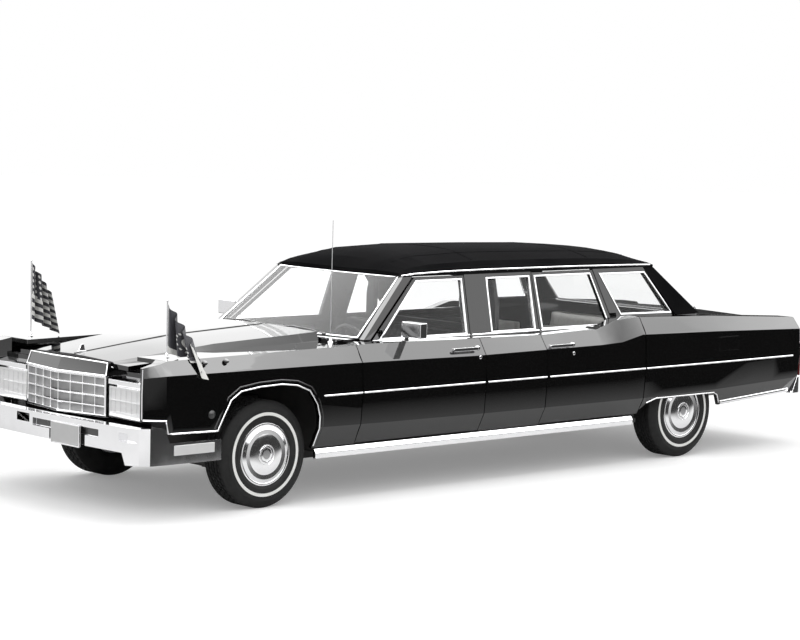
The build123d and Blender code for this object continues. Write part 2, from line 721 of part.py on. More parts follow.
def post(low, high, z_low, z_high):
    """Leaning post between two rectangles of ((x, x), (y, y))."""
    wires = []
    for (xs, ys), z in ((low, z_low), (high, z_high)):
        corners = [(xs[0], ys[0], z), (xs[1], ys[0], z), (xs[1], ys[1], z), (xs[0], ys[1], z)]
        wires.append(Wire.make_polygon([Vector(*c) for c in corners], close=True))
    return Solid.make_loft(wires, True)


# Floor, chassis and running gear

COWL_Z = 1040.0
DECK_Z = 1073.7
TUNNEL_HALF = 110.0
TUNNEL_Z = 470.0
FRAME_Z = 216.0
FIREWALL_X = front(560)
SEAT_STEP_X = rear(-500)
REAR_FLOOR_Z = 500.0
FLOOR_HALF = SILL_Y - 32
TRUNK_HALF = TRACK / 2 - TYRE_WIDTH / 2 - 32.5
TAIL_X = rear(1300)
TAIL_FACE_X = rear(1331)


def floor_pan():
    """Floor, firewall, hinge posts, wheel houses and trunk floor."""
    low = block(FIREWALL_X, SEAT_STEP_X, -FLOOR_HALF, FLOOR_HALF, FLOOR_Z, FLOOR_Z + FLOOR_THICK)
    riser = block(SEAT_STEP_X - 24, SEAT_STEP_X, -TRUNK_HALF, TRUNK_HALF, FLOOR_Z, REAR_FLOOR_Z + 24)
    high = block(SEAT_STEP_X - 24, TAIL_X, -TRUNK_HALF, TRUNK_HALF, REAR_FLOOR_Z, REAR_FLOOR_Z + 24)
    wall_half = GLASS_BASE_Y - 30
    wall = block(FIREWALL_X, FIREWALL_X + 30, -wall_half, wall_half, FLOOR_Z, 960)
    toe = block(FIREWALL_X, front(690), -FLOOR_HALF + 20, FLOOR_HALF - 20, FLOOR_Z, FLOOR_Z + FLOOR_THICK)
    sides = []
    for plan in (FRONT_DOOR, REAR_DOOR):
        sides.append(hinge_post(plan))
    house_low = rear(-TYRE_RADIUS - 90)
    house_high = rear(TYRE_RADIUS + 90)
    house = block(house_low, house_high, -TRUNK_HALF, -TRUNK_HALF + 20, REAR_FLOOR_Z, 760)
    house = house + block(house_low, house_high, -BODY_HALF_WIDTH + 62, -TRUNK_HALF + 20, 740, 760)
    sill = block(front(690), rear(-640), -FLOOR_HALF - 24, -FLOOR_HALF + 60, FLOOR_Z, SILL_Z - GAP)
    left = sill + house
    for side in sides:
        left = left + side
    tunnel = block(FIREWALL_X, SEAT_STEP_X, -TUNNEL_HALF, TUNNEL_HALF, FLOOR_Z, TUNNEL_Z)
    inside = block(FIREWALL_X - 1, SEAT_STEP_X + 1, -TUNNEL_HALF + 25, TUNNEL_HALF - 25, FLOOR_Z - 1, TUNNEL_Z - 25)
    return low + riser + high + wall + toe + tunnel - inside + both_sides(left)


def tunnel_room():
    """Room that seats and partition leave for the tunnel."""
    return block(-TOTAL_LENGTH, TOTAL_LENGTH, -TUNNEL_HALF - PIN_GAP, TUNNEL_HALF + PIN_GAP, 0, TUNNEL_Z + PIN_GAP)


def cowl():
    """Cowl between the hood and the windscreen, with its plenum box."""
    x_low = front(HOOD_REAR + 12)
    plate = [(x_low, 1000.0), (x_low, COWL_Z), (front(1000), COWL_Z), (front(1000), 1000.0)]
    panel = side_prism(plate, -COWL_HALF, COWL_HALF)
    for y in (-HOOD_HINGE_Y, HOOD_HINGE_Y):
        notch, pin, eye = hood_hinge(y)
        panel = panel + eye
    return panel


RAIL_OUT = 490.0
RAIL_IN = 430.0
HORN_X = front(-860)
HORN_Z = 405.0
HORN_TOP = 480.0
REAR_RAIL_Z = 420.0


def chassis():
    """Ladder frame with cross members and the front suspension arms."""
    z_low = FRAME_Z
    z_high = FLOOR_Z
    left = block(front(-90), rear(190), -RAIL_OUT, -RAIL_IN, z_low, z_high)
    left = left + block(HORN_X, front(-90), -RAIL_OUT, -RAIL_IN, HORN_Z, HORN_TOP)
    left = left + block(rear(150), rear(1280), -RAIL_OUT, -RAIL_IN, REAR_RAIL_Z, REAR_FLOOR_Z)
    over_axle = block(rear(-150), rear(150), -520, -400, z_low - 1, z_high + 1)
    left = left - over_axle
    left = left + block(rear(-190), rear(190), -490, -430, 430, REAR_FLOOR_Z)
    left = left + block(rear(-190), rear(-150), -490, -430, z_low, REAR_FLOOR_Z)
    left = left + block(rear(150), rear(190), -490, -430, z_low, REAR_FLOOR_Z)
    kingpin_y = -(TRACK / 2 - KINGPIN_INSET)
    for sign in (-1, 1):
        z = TYRE_RADIUS + sign * (UPRIGHT_HALF + 20)
        stub = UPRIGHT_RADIUS / 2
        arm = plan_prism(
            [(front(-26), kingpin_y - 20), (front(26), kingpin_y - 20), (front(110), -400), (front(-110), -400)],
            z - 10, z + 10)
        arm = arm - upright_rod(FRONT_AXLE_X, kingpin_y, z - 11, z + 11, stub + RUN_FIT)
        left = left + arm
    left = left + block(front(-110), front(110), -490, -400, z_low, TYRE_RADIUS + UPRIGHT_HALF + 30)
    cross = [(front(-90), 180), (front(900), 60), (rear(-1900), 60), (rear(-700), 60)]
    frame = both_sides(left)
    for x, length in cross:
        frame = frame + block(x, x + length, -RAIL_IN - 10, RAIL_IN + 10, z_low, z_low + 60)
    frame = frame + block(HORN_X, HORN_X + 50, -RAIL_IN - 10, RAIL_IN + 10, HORN_Z, HORN_Z + 50)
    frame = frame + block(rear(1200), rear(1260), -RAIL_IN - 10, RAIL_IN + 10, REAR_RAIL_Z, REAR_RAIL_Z + 60)
    return frame - rod(*SHAFT_LINE, SHAFT_RADIUS + 10)


def engine():
    """Engine and gearbox as one plain block with its sump and bell housing."""
    block_low = front(-330)
    main = block(block_low, front(330), -260, 260, 300, 860)
    box = block(front(330), front(555), -160, 160, 310, 620)
    return main + box


SHAFT_RADIUS = 34.0
SHAFT_LINE = ((front(555.3), 0, 330), (REAR_AXLE_X - 60, 0, TYRE_RADIUS))


def rear_axle():
    """Rear axle tube with its differential, leaf springs and the propeller shaft."""
    z = TYRE_RADIUS
    tube = rod((REAR_AXLE_X, -TRACK / 2 - spindle_end(), z), (REAR_AXLE_X, TRACK / 2 + spindle_end(), z), SPINDLE_RADIUS)
    casing = rod((REAR_AXLE_X, -640, z), (REAR_AXLE_X, 640, z), 42)
    differential = Solid.make_sphere(125).moved(Location((REAR_AXLE_X, 0, z)))
    shaft = rod(*SHAFT_LINE, SHAFT_RADIUS)
    perches = block(rear(-40), rear(40), -560, -500, z + 30, REAR_FLOOR_Z)
    return tube + casing + differential + shaft + both_sides(perches)


def fuel_tank():
    """Fuel tank under the trunk floor."""
    return block(rear(430), rear(1130), -390, 390, 350, REAR_FLOOR_Z)


def exhaust():
    """Exhaust pipe with its silencer on the right-hand side."""
    z = FRAME_Z - PIN_GAP - 26
    pipe = rod((front(500), 300, z), (rear(-450), 300, z), 26)
    return pipe + rod((rear(-1500), 300, z), (rear(-900), 300, z), 60)


# Front end

GRILLE_HALF = 440.0
GRILLE_LOW = 600.3
GRILLE_HIGH = 866.0
GRILLE_TIP = -985.0
GRILLE_END = -915.0
HEADER_TOP = 955.0
HEADER_X = front(-860)
SUPPORT_X = front(-800)
SUPPORT_THICK = 24.0
FENDER_INNER_Y = BODY_HALF_WIDTH - 212.3


def vee(tip, end, half, depth):
    """Outline of (x, y) of a shallow V across the car, with its point forwards."""
    return [(front(end), -half), (front(tip), 0), (front(end), half), (front(end + depth), half),
            (front(tip + depth), 0), (front(end + depth), -half)]


def nose_panel():
    """Raised header above the grille, the recessed panel behind the headlamp covers and the radiator support."""
    wide = FENDER_INNER_Y
    support = block(SUPPORT_X, SUPPORT_X + SUPPORT_THICK, -wide, wide, HORN_TOP + PIN_GAP, 900)
    recess = block(front(-835), SUPPORT_X, -wide, wide, 600, 902)
    foot = GRILLE_HALF
    head = foot - 14
    base = [(front(GRILLE_END), -foot), (front(GRILLE_TIP), 0), (front(GRILLE_END), foot), (SUPPORT_X, foot),
            (SUPPORT_X, -foot)]
    top_end = GRILLE_END + 22
    top_tip = GRILLE_TIP + 34
    cap = [(front(top_end), -head), (front(top_tip), 0), (front(top_end), head), (SUPPORT_X, head), (SUPPORT_X, -head)]
    low_z = GRILLE_HIGH + PIN_GAP
    wires = []
    for outline, heights in ((base, (low_z,) * 5), (cap, (HEADER_TOP - 8, HEADER_TOP, HEADER_TOP - 8, HEADER_TOP - 8, HEADER_TOP - 8))):
        corners = [Vector(x, y, z) for (x, y), z in zip(outline, heights)]
        wires.append(corners)
    header = solid_between(wires[0], wires[1])
    header = header - block(HOOD_FRONT - GAP, front(0), -wide, wide, 900, 1100)
    return support + recess + header


def solid_between(low, high):
    """Solid between two rings of as many corners, closed at both ends with triangles from their middles."""
    faces = []
    for ring in (low, high):
        middle = Vector(*[sum(values) / len(ring) for values in zip(*[(c.X, c.Y, c.Z) for c in ring])])
        for first, second in zip(ring, ring[1:] + ring[:1]):
            faces.append(Face(Wire.make_polygon([first, second, middle], close=True)))
    for index in range(len(low)):
        after = (index + 1) % len(low)
        faces.append(Face(Wire.make_polygon([low[index], low[after], high[after]], close=True)))
        faces.append(Face(Wire.make_polygon([low[index], high[after], high[index]], close=True)))
    return Solid(Shell(faces))


def grille():
    """V-shaped grille: shell, uprights and crossbars."""
    rim = 16
    outer = [(front(GRILLE_END), -GRILLE_HALF), (front(GRILLE_TIP), 0), (front(GRILLE_END), GRILLE_HALF),
             (front(-835) - PIN_GAP, GRILLE_HALF), (front(-835) - PIN_GAP, -GRILLE_HALF)]
    shell = plan_prism(outer, GRILLE_LOW, GRILLE_HIGH)
    hole = [(front(-1100), -GRILLE_HALF + rim), (front(-1100), GRILLE_HALF - rim), (front(GRILLE_END + 40), GRILLE_HALF - rim),
            (front(GRILLE_TIP + 40), 0), (front(GRILLE_END + 40), -GRILLE_HALF + rim)]
    shell = shell - plan_prism(hole, GRILLE_LOW + rim, GRILLE_HIGH - rim)
    columns = 8
    rows = 4
    set_back = 9
    for column in range(1, columns):
        y = -GRILLE_HALF + 2 * GRILLE_HALF * column / columns
        nose = GRILLE_TIP + (GRILLE_END - GRILLE_TIP) * abs(y) / GRILLE_HALF + set_back
        shell = shell + block(front(nose), front(nose + 40), y - 4, y + 4, GRILLE_LOW, GRILLE_HIGH)
    for row in range(1, rows):
        z = GRILLE_LOW + (GRILLE_HIGH - GRILLE_LOW) * row / rows
        shell = shell + plan_prism(vee(GRILLE_TIP + set_back - 2, GRILLE_END + set_back - 2, GRILLE_HALF - 3, 40), z - 5, z + 5)
    return shell


COVER_IN = 462.0
COVER_OUT = FENDER_INNER_Y
COVER_X = front(-905)


def headlamp_covers():
    """Covers in front of the headlamps: a ribbed panel between an upper and a lower bright bar."""
    back = front(-835) - PIN_GAP
    cover = block(COVER_X, back, -COVER_OUT, -COVER_IN, 612, 808)
    panel_in = 10
    for low, high in ((648, 718), (724, 794)):
        cover = cover - block(COVER_X - 1, COVER_X + panel_in, -COVER_OUT + 10, -COVER_IN - 12, low, high)
    for index in range(1, 6):
        y = -COVER_OUT + (COVER_OUT - COVER_IN) * index / 6
        cover = cover + block(COVER_X + 3, COVER_X + panel_in + 1, y - 3, y + 3, 648, 794)
    brow = side_prism([(COVER_X - 8, 822), (COVER_X - 8, 852), (back, 872), (back, 822)], -COVER_OUT, -COVER_IN)
    link = block(COVER_X + 30, back, -COVER_OUT + 40, -COVER_IN - 40, 800, 830)
    return both_sides(cover + brow + link)


BUMPER_TIP = FRONT_OVERHANG - 3.2
BUMPER_SHOULDER = 1068.0
BUMPER_TOP = 596.0
BUMPER_LOW = 438.0
BUMPER_END_LOW = 364.0
BUMPER_SIDE_TOP = 500.0
BUMPER_SHOULDER_Y = BODY_HALF_WIDTH - 142
BUMPER_END_X = front(-430)


def bumper_plan(grow=0.0):
    """Outline of (x, y) of the front bumper's outer face."""
    half = BODY_HALF_WIDTH
    left = [(BUMPER_END_X, -half + 5), (front(-860), -half + 5), (front(-BUMPER_SHOULDER + 93), -half + 20),
            (front(-BUMPER_SHOULDER + 38), -half + 62),
            (front(-BUMPER_SHOULDER), -BUMPER_SHOULDER_Y)]
    right = [(x, -y) for x, y in left][::-1]
    return left + [(front(-BUMPER_TIP), 0)] + right


def front_bumper():
    """Front bumper: centre bar with its plate recess and slots, deep corners and ends wrapped back to the wheels."""
    half = BODY_HALF_WIDTH
    behind = -BUMPER_SHOULDER + 83
    near = [(BUMPER_END_X, half - 30), (front(behind + 105), half - 34), (front(behind + 25), half - 60),
            (front(behind), half - 110)]
    inner = near + [(front(-BUMPER_TIP + 66.8), 0)] + [(x, -y) for x, y in near][::-1]
    bar = plan_prism(bumper_plan() + inner, BUMPER_END_LOW, BUMPER_TOP)
    side_cut = side_prism([(front(-400), BUMPER_SIDE_TOP - 6), (front(-835), BUMPER_SIDE_TOP), (front(-872), BUMPER_TOP - 8),
                           (front(-900), BUMPER_TOP + 1), (front(-400), BUMPER_TOP + 1)], -half - 50, half + 50)
    bar = bar - side_cut
    under = cross_prism([(-BUMPER_SHOULDER_Y + 10, BUMPER_END_LOW - 1), (-BUMPER_SHOULDER_Y + 45, BUMPER_LOW),
                         (BUMPER_SHOULDER_Y - 45, BUMPER_LOW), (BUMPER_SHOULDER_Y - 10, BUMPER_END_LOW - 1)],
                        front(-1200), front(-800))
    bar = bar - under
    recess = block(front(-1200), front(-BUMPER_TIP + 34), -590, 110, 506, 556)
    recess = recess + block(front(-1200), front(-BUMPER_TIP + 34), PLATE_FAR_Y - 42, PLATE_NEAR_Y + 25, BUMPER_LOW - 1, 508)
    bar = bar - recess
    slot = block(front(-1200), front(-BUMPER_SHOULDER + 32), -half + 77, -half + 217, 506, 562)
    bar = bar - both_sides(slot) - block(front(-1200), front(-1062), 150, 300, 520, 575)
    bracket = block(front(-BUMPER_SHOULDER + 48), HORN_X - PIN_GAP, -RAIL_OUT + 4, -RAIL_IN - 4, HORN_Z + 35, HORN_TOP - 4)
    return bar + both_sides(bracket)


PLATE_NEAR_Y = -105.0
PLATE_FAR_Y = -410.0


def number_plate():
    """Blank front number plate, on the bumper's face over its recess."""
    lean = (BUMPER_TIP - BUMPER_SHOULDER) / BUMPER_SHOULDER_Y
    thick = 6.0
    near, far = PLATE_NEAR_Y, PLATE_FAR_Y
    face_near = -BUMPER_TIP - near * lean - PIN_GAP
    face_far = -BUMPER_TIP - far * lean - PIN_GAP
    plan = [(front(face_near), near), (front(face_near - thick), near), (front(face_far - thick), far),
            (front(face_far), far)]
    return plan_prism(plan, 424, 556)


# Rear end


BUMPER_REAR_LOW = 412.0
BUMPER_REAR_TOP = 540.0


def bumper_end(grow=0.0):
    """Outline of (x, z) of the rear bumper's end, where it wraps round the lower rear corner."""
    return [(rear(1262) - grow, BUMPER_REAR_LOW - 60), (rear(1262) - grow, BUMPER_REAR_LOW),
            (rear(1322) - grow, BUMPER_REAR_TOP + grow), (rear(1340), BUMPER_REAR_TOP + grow),
            (rear(1340), BUMPER_REAR_LOW - 60)]


def rear_bumper():
    """Rear bumper with its ends wrapped round the corners."""
    wide = BODY_HALF_WIDTH
    front_x = TAIL_FACE_X + PIN_GAP
    plan = [(front_x, -wide + 34), (rear(REAR_OVERHANG - 30), -wide + 44), (rear(REAR_OVERHANG - 8), -wide + 92),
            (rear(REAR_OVERHANG), 0), (rear(REAR_OVERHANG - 8), wide - 92), (rear(REAR_OVERHANG - 30), wide - 44),
            (front_x, wide - 34)]
    bar = plan_prism(plan, BUMPER_REAR_LOW, BUMPER_REAR_TOP)
    end = side_prism(bumper_end(), -wide + 34, -wide + 120)
    end = end - block(rear(1200), rear(1400), -wide, -wide + 200, 300, BUMPER_REAR_LOW)
    return bar + both_sides(end)


TAIL_CAP_Z = 548.0


def tail_panel():
    """Tail panel between the quarters, with a cap on the end of each."""
    face = TAIL_FACE_X + PIN_GAP
    half, low_z, crease_z, belt_z = station(TAIL_FACE_X)
    outer = [(-half + 28, TAIL_CAP_Z), (-half, WIDE_Z), (-half + 12, crease_z), (-half + 82, belt_z - 2)]
    inner = LID_HALF + 14
    near = outer + [(-inner, belt_z - 4), (-inner, TAIL_CAP_Z)]
    far = [(y + 14, z - (14 if z > WIDE_Z else 0)) for y, z in outer] + [(-inner, belt_z - 18), (-inner, TAIL_CAP_Z)]
    cap = skin_loft([(face, near), (face + 8, near), (face + 24, far)])
    panel = block(TAIL_X + PIN_GAP, TAIL_FACE_X, -LID_HALF + 38, LID_HALF - 38, 400, 965)
    return pieces(panel, both_sides(cap))


def lamps():
    """Tail lamps, upright ones on the end caps and wide ones on the tail panel, and front side lamps."""
    wide = BODY_HALF_WIDTH
    face = TAIL_FACE_X + PIN_GAP
    upright = block(face + 24 + PIN_GAP, face + 44, -wide + 50, -wide + 105, TAIL_CAP_Z, 797)
    tail = block(face, face + 19, -LID_HALF + 42, -300, 640, 720)
    side = block(front(-800), front(-486), -wide, -wide + 5 - PIN_GAP, 419, 481)
    return pieces(both_sides(upright), both_sides(tail), both_sides(side))


# Hood and trunk lid

HOOD_REAR = 735.0
HOOD_HALF = 600.0
HOOD_AXIS = (front(HOOD_REAR - 16), 1066.0)
HOOD_HINGE_Y = 300.0
LID_FRONT = 347.0
LID_HALF = GLASS_BASE_Y - 62
LID_HINGE_Y = 500.0
LID_AXIS = (rear(LID_FRONT + 16), 1054.0)
# Trunk lid, a row for each station: x, centre z, side z
LID_STATIONS = (
    (rear(LID_FRONT), 1076.0, 1064.0),
    (rear(900), 1048.0, 1030.0),
    (rear(1298), 985.0, 970.0),
)
# Hood, a row for each station: x, crown z, y of the raised part's edge, side z
HOOD_FRONT = front(-862)
HOOD_STATIONS = (
    (HOOD_FRONT, 966.0, 430.0, 940.0),
    (front(-481), 1010.0, 480.0, 968.0),
    (front(-110), 1050.0, 510.0, 985.0),
    (front(520), 1082.0, 545.0, 1010.0),
    (front(HOOD_REAR), 1092.0, 550.0, 1020.0),
)


def lid_hinge(axis, y, direction, arm, arm_room=4.0):
    """Hinge of a lid: notch to cut from the lid, pin on the lid and eye with its arm on the body."""
    x, z = axis
    half = 15.0
    far = x + direction * 60
    notch = block(x - 19, x + 19, y - half, y + half, z - 60, z + 10)
    notch = notch + block(min(x, far), max(x, far), y - half, y + half, z - 60, z + arm_room)
    pin = rod((x, y - half - 4, z), (x, y + half + 4, z), 4)
    eye = rod((x, y - 7, z), (x, y + 7, z), 8)
    outline = [(x, z - 4), (x + direction * 4, z + 4)] + arm
    eye = eye + side_prism(outline, y - 7, y + 7)
    eye = eye - rod((x, y - 8, z), (x, y + 8, z), 4 + RUN_FIT)
    return notch, pin, eye


def hood():
    """Hood with its raised centre."""
    sections = []
    for x, crown, edge, side in HOOD_STATIONS:
        top = [(-HOOD_HALF, side), (-edge - 22, side + 3), (-edge, crown - 12), (-edge / 2, crown - 5), (0, crown)]
        top = top + [(-y, z) for y, z in top[:-1]][::-1]
        low = [(y, z - 30) for y, z in top][::-1]
        sections.append((x, top + low))
    panel = skin_loft(sections)
    for y in (-HOOD_HINGE_Y, HOOD_HINGE_Y):
        notch, pin, eye = hood_hinge(y)
        panel = panel - notch + pin
    return panel


def hood_hinge(y):
    """Hood hinge at one side."""
    arm = [(front(760), COWL_Z - 2), (front(760), COWL_Z - 14)]
    return lid_hinge(HOOD_AXIS, y, 1, arm)


def lid_side_hinge(y):
    """Trunk lid hinge at one side."""
    arm = [(rear(320), DECK_Z - 18), (rear(320), DECK_Z - 33)]
    return lid_hinge(LID_AXIS, y, -1, arm, arm_room=40.0)


def trunk_lid():
    """Trunk lid."""
    sections = []
    for x, centre, side in LID_STATIONS:
        top = [(-LID_HALF, side), (0, centre), (LID_HALF, side)]
        low = [(y, z - 30) for y, z in top][::-1]
        sections.append((x, top + low))
    panel = skin_loft(sections)
    for y in (-LID_HINGE_Y, LID_HINGE_Y):
        notch, pin, eye = lid_side_hinge(y)
        panel = panel - notch + pin
    return panel


def rear_deck():
    """Deck under the rear window with the bulkhead in front of the trunk and the lid's hinge eyes."""
    deck = block(rear(180), rear(330), -LID_HALF + 48, LID_HALF - 48, 1036, DECK_Z)
    deck = deck + block(rear(262), rear(280), -TRUNK_HALF + 20.3, TRUNK_HALF - 20.3, REAR_FLOOR_Z + 24, 1040)
    for y in (-LID_HINGE_Y, LID_HINGE_Y):
        notch, pin, eye = lid_side_hinge(y)
        deck = deck + eye
    return deck


# Fittings


def rocker_mouldings():
    """Bright mouldings under the doors."""
    inner = FLOOR_HALF + 24 + PIN_GAP
    outline = [(-inner - 28, 292), (-inner - 31, 330), (-inner - 11, 358), (-inner, 358), (-inner, 292)]
    return both_sides(cross_prism(outline, front(402), rear(-590)))


STAFF_Y = BODY_HALF_WIDTH - 257


def flagpoles():
    """Flag staffs on the front fenders."""
    x = front(-680)
    return both_sides(upright_rod(x, -STAFF_Y, station(x)[3] - 0.5, 1529, 5))


def flag(side, low, high):
    """Plain flag hanging from its staff."""
    y = side * STAFF_Y
    fly = 250
    hoist = front(-675) + PIN_GAP
    return prism([(hoist, y, low), (hoist, y, high), (hoist + fly, y, low)], (0, 4, 0))


def antenna():
    """Radio antenna."""
    x = front(716)
    return upright_rod(x, -BODY_HALF_WIDTH + 296, station(x)[3] - 0.9, 1842, 2.5)


def mirror_left():
    """Door mirror on its stalk."""
    out = BODY_HALF_WIDTH + 78
    head = block(front(1190), front(1250), -out, -out + 190, 1056, 1160)
    stalk = block(front(1200), front(1240), -BELT_Y + 5, -BELT_Y + 45, station(front(1200))[3] + 1.3 + PIN_GAP, 1080)
    return head + stalk


# Cabin


STEERING_HUB = (front(1190), -400.0, 888.7)
STEERING_RADIUS = 200.0
COLUMN_LEAN = radians(25)


def along_column(distance):
    """Point on the steering column's line, from its end at the steering wheel."""
    x, y, z = STEERING_HUB
    return (x + distance * cos(COLUMN_LEAN), y, z + distance * sin(COLUMN_LEAN))


def dashboard():
    """Dashboard with the steering column."""
    half = COWL_HALF - 2
    body = block(front(960), front(1130), -half, half, 760, 999.7)
    column = rod(along_column(-200), along_column(-PIN_GAP), 24)
    return body + column


def steering_wheel():
    """Steering wheel: ring, two spokes and hub."""
    axis = Vector(cos(COLUMN_LEAN), 0, sin(COLUMN_LEAN))
    plane = Plane(origin=STEERING_HUB, z_dir=axis)
    ring = Solid.make_torus(STEERING_RADIUS, 13, Plane(origin=plane.origin + plane.z_dir * 40, z_dir=axis))
    hub = Solid.make_cylinder(50, 50, plane)
    low = plane.origin + plane.z_dir * 30
    spoke = Solid.make_cylinder(9, 2 * STEERING_RADIUS, Plane(origin=low + Vector(0, -STEERING_RADIUS, 0), z_dir=(0, 1, 0)))
    return ring + hub + spoke


def bench(x, half, cushion, back_lean, height):
    """Bench seat: cushion and back, over the tunnel."""
    seat = block(x, x + cushion, -half, half, FLOOR_Z + FLOOR_THICK, 620)
    back = side_prism(
        [(x + cushion - 130, 620), (x + cushion - 130 + back_lean, height), (x + cushion + back_lean, height),
         (x + cushion, 620)], -half, half)
    return seat + back - tunnel_room()


def front_seat():
    """Front bench."""
    return bench(front(1500), GLASS_BASE_Y - 100, 620, 60, 1050)


def jump_seats():
    """Two folding seats side by side."""
    seat = bench(rear(-1150), 205, 420, 40, 1000)
    return pieces(seat.moved(Location((0, -330, 0))), seat.moved(Location((0, 330, 0))))


def rear_seat():
    """Rear bench, on the raised floor over the axle."""
    above = block(-TOTAL_LENGTH, TOTAL_LENGTH, -SILL_Y, SILL_Y, REAR_FLOOR_Z + 24, 2000)
    return bench(rear(-440), TRUNK_HALF - 32, 600, 90, 1010) & above


PARTITION = 2290.0


def partition():
    """Partition behind the front seat."""
    low = GLASS_BASE_Y - 110
    high = GLASS_TOP_Y - 36
    floor_z = FLOOR_Z + FLOOR_THICK
    outline = [(-low, floor_z), (-low, 1200), (-high, 1430), (high, 1430), (low, 1200), (low, floor_z)]
    wall = cross_prism(outline, front(PARTITION), front(PARTITION + 40)) - tunnel_room()
    return wall - block(front(PARTITION - 90), front(PARTITION + 110), -high + 36, high - 36, 1050, 1390)


NODES = {
    "floor_pan": floor_pan,
    "cowl": cowl,
    "chassis_frame": chassis,
    "front_fenders": lambda: both_sides(front_fender()),
    "nose_panel": nose_panel,
    "grille": grille,
    "headlamp_covers": headlamp_covers,
    "front_bumper": front_bumper,
    "number_plate": number_plate,
    "centre_panels": lambda: both_sides(centre_panel()),
    "rear_quarters": lambda: both_sides(rear_quarter()),
    "roof": roof,
    "body_glass": body_glass,
    "rear_deck": rear_deck,
    "tail_panel": tail_panel,
    "rear_bumper": rear_bumper,
    "lamps": lamps,
    "rocker_mouldings": rocker_mouldings,
    "engine": engine,
    "rear_axle": rear_axle,
    "exhaust": exhaust,
    "fuel_tank": fuel_tank,
    "dashboard": dashboard,
    "front_seat": front_seat,
    "jump_seats": jump_seats,
    "rear_seat": rear_seat,
    "partition": partition,
    "flagpoles": flagpoles,
    "flag_left": lambda: flag(-1, 1030, 1339),
    "flag_right": lambda: flag(1, 1010, 1497),
    "antenna": antenna,
    "steering_wheel": steering_wheel,
    "hood": hood,
    "trunk_lid": trunk_lid,
}


def moving_nodes():
    """Doors with their glass and mirrors, wheels and knuckles, by name."""
    made = {}
    for name, plan in (("front_door", FRONT_DOOR), ("rear_door", REAR_DOOR)):
        left = {"": door(plan), "_glass": door_glass(plan)}
        if plan is FRONT_DOOR:
            left["_mirror"] = mirror_left()
        for kind, shape in left.items():
            made[name + "_left" + kind] = shape
            made[name + "_right" + kind] = mirror(shape, about=Plane.XZ)
    for side_name, side in (("left", -1), ("right", 1)):
        made["knuckle_" + side_name] = knuckle(side)
        for place, x in (("front", FRONT_AXLE_X), ("rear", REAR_AXLE_X)):
            made["tyre_" + place + "_" + side_name] = tyre(x, side)
            made["wheel_" + place + "_" + side_name] = rim(x, side)
    return made


def main():
    """Builds every node and writes it to its own file."""
    os.makedirs("parts", exist_ok=True)
    made = {name: build() for name, build in NODES.items()}
    made.update(moving_nodes())
    for name, shape in made.items():
        export_step(pieces(shape), "parts/" + name + ".step")


main()
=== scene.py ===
"""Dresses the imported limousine: paint, brightwork, glass, tyres, trim, cloth and the studio."""

from __future__ import annotations

import json
import logging
import math
from dataclasses import dataclass, field
from enum import Enum
from typing import Callable, Iterable, Sequence

import bmesh
import bpy
from mathutils import Matrix, Vector
from mathutils.bvhtree import BVHTree

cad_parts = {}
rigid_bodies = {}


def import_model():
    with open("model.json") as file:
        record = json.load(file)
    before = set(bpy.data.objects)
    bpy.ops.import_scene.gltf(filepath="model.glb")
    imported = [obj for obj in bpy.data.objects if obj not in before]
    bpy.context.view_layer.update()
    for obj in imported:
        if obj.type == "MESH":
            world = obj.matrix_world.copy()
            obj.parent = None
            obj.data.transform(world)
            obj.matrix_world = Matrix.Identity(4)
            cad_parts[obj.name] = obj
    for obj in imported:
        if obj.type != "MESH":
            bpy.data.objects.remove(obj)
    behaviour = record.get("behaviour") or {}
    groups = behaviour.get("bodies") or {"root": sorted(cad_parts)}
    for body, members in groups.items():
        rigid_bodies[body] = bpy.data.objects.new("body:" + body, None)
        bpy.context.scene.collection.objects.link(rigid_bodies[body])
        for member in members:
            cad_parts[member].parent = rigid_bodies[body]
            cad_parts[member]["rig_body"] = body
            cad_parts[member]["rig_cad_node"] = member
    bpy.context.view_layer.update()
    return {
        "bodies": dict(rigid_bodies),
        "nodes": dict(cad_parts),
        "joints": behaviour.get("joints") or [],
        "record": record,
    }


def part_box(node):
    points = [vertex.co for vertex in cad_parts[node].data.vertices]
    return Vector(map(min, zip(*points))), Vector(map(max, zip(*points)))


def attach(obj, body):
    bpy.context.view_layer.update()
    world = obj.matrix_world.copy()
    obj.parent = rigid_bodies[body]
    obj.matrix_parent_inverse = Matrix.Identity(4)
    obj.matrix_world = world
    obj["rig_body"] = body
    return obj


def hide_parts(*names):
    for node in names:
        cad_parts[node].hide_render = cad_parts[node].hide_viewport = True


LOG = logging.getLogger("limousine")
Point = tuple[float, float, float]
Colour = tuple[float, float, float]


class Side(Enum):
    """Side of the car, with its sign along Y."""

    LEFT = -1
    RIGHT = 1

    @property
    def word(self) -> str:
        """Word used in the names of pieces."""
        return self.name.lower()


class Wheel(Enum):
    """The four road wheels."""

    FRONT_LEFT = "front_left"
    FRONT_RIGHT = "front_right"
    REAR_LEFT = "rear_left"
    REAR_RIGHT = "rear_right"


# Modelling tools


def deselect() -> None:
    """Leaves object mode and deselects every object."""
    if bpy.context.object and bpy.context.object.mode != "OBJECT":
        bpy.ops.object.mode_set(mode="OBJECT")
    bpy.ops.object.select_all(action="DESELECT")


def activate(piece: bpy.types.Object) -> None:
    """Selects one object alone and makes it the active one.

    Args:
        piece: The object to work on.
    """
    deselect()
    piece.select_set(True)
    bpy.context.view_layer.objects.active = piece


def apply_place(piece: bpy.types.Object) -> None:
    """Moves an object's place, turn and scale into its mesh.

    Args:
        piece: The object to put back at the origin.
    """
    activate(piece)
    bpy.ops.object.transform_apply(location=True, rotation=True, scale=True)


def name_piece(name: str) -> bpy.types.Object:
    """Names the active object and its mesh.

    Args:
        name: The piece's name.

    Returns:
        The object.
    """
    piece = bpy.context.object
    piece.name = name
    piece.data.name = name
    return piece


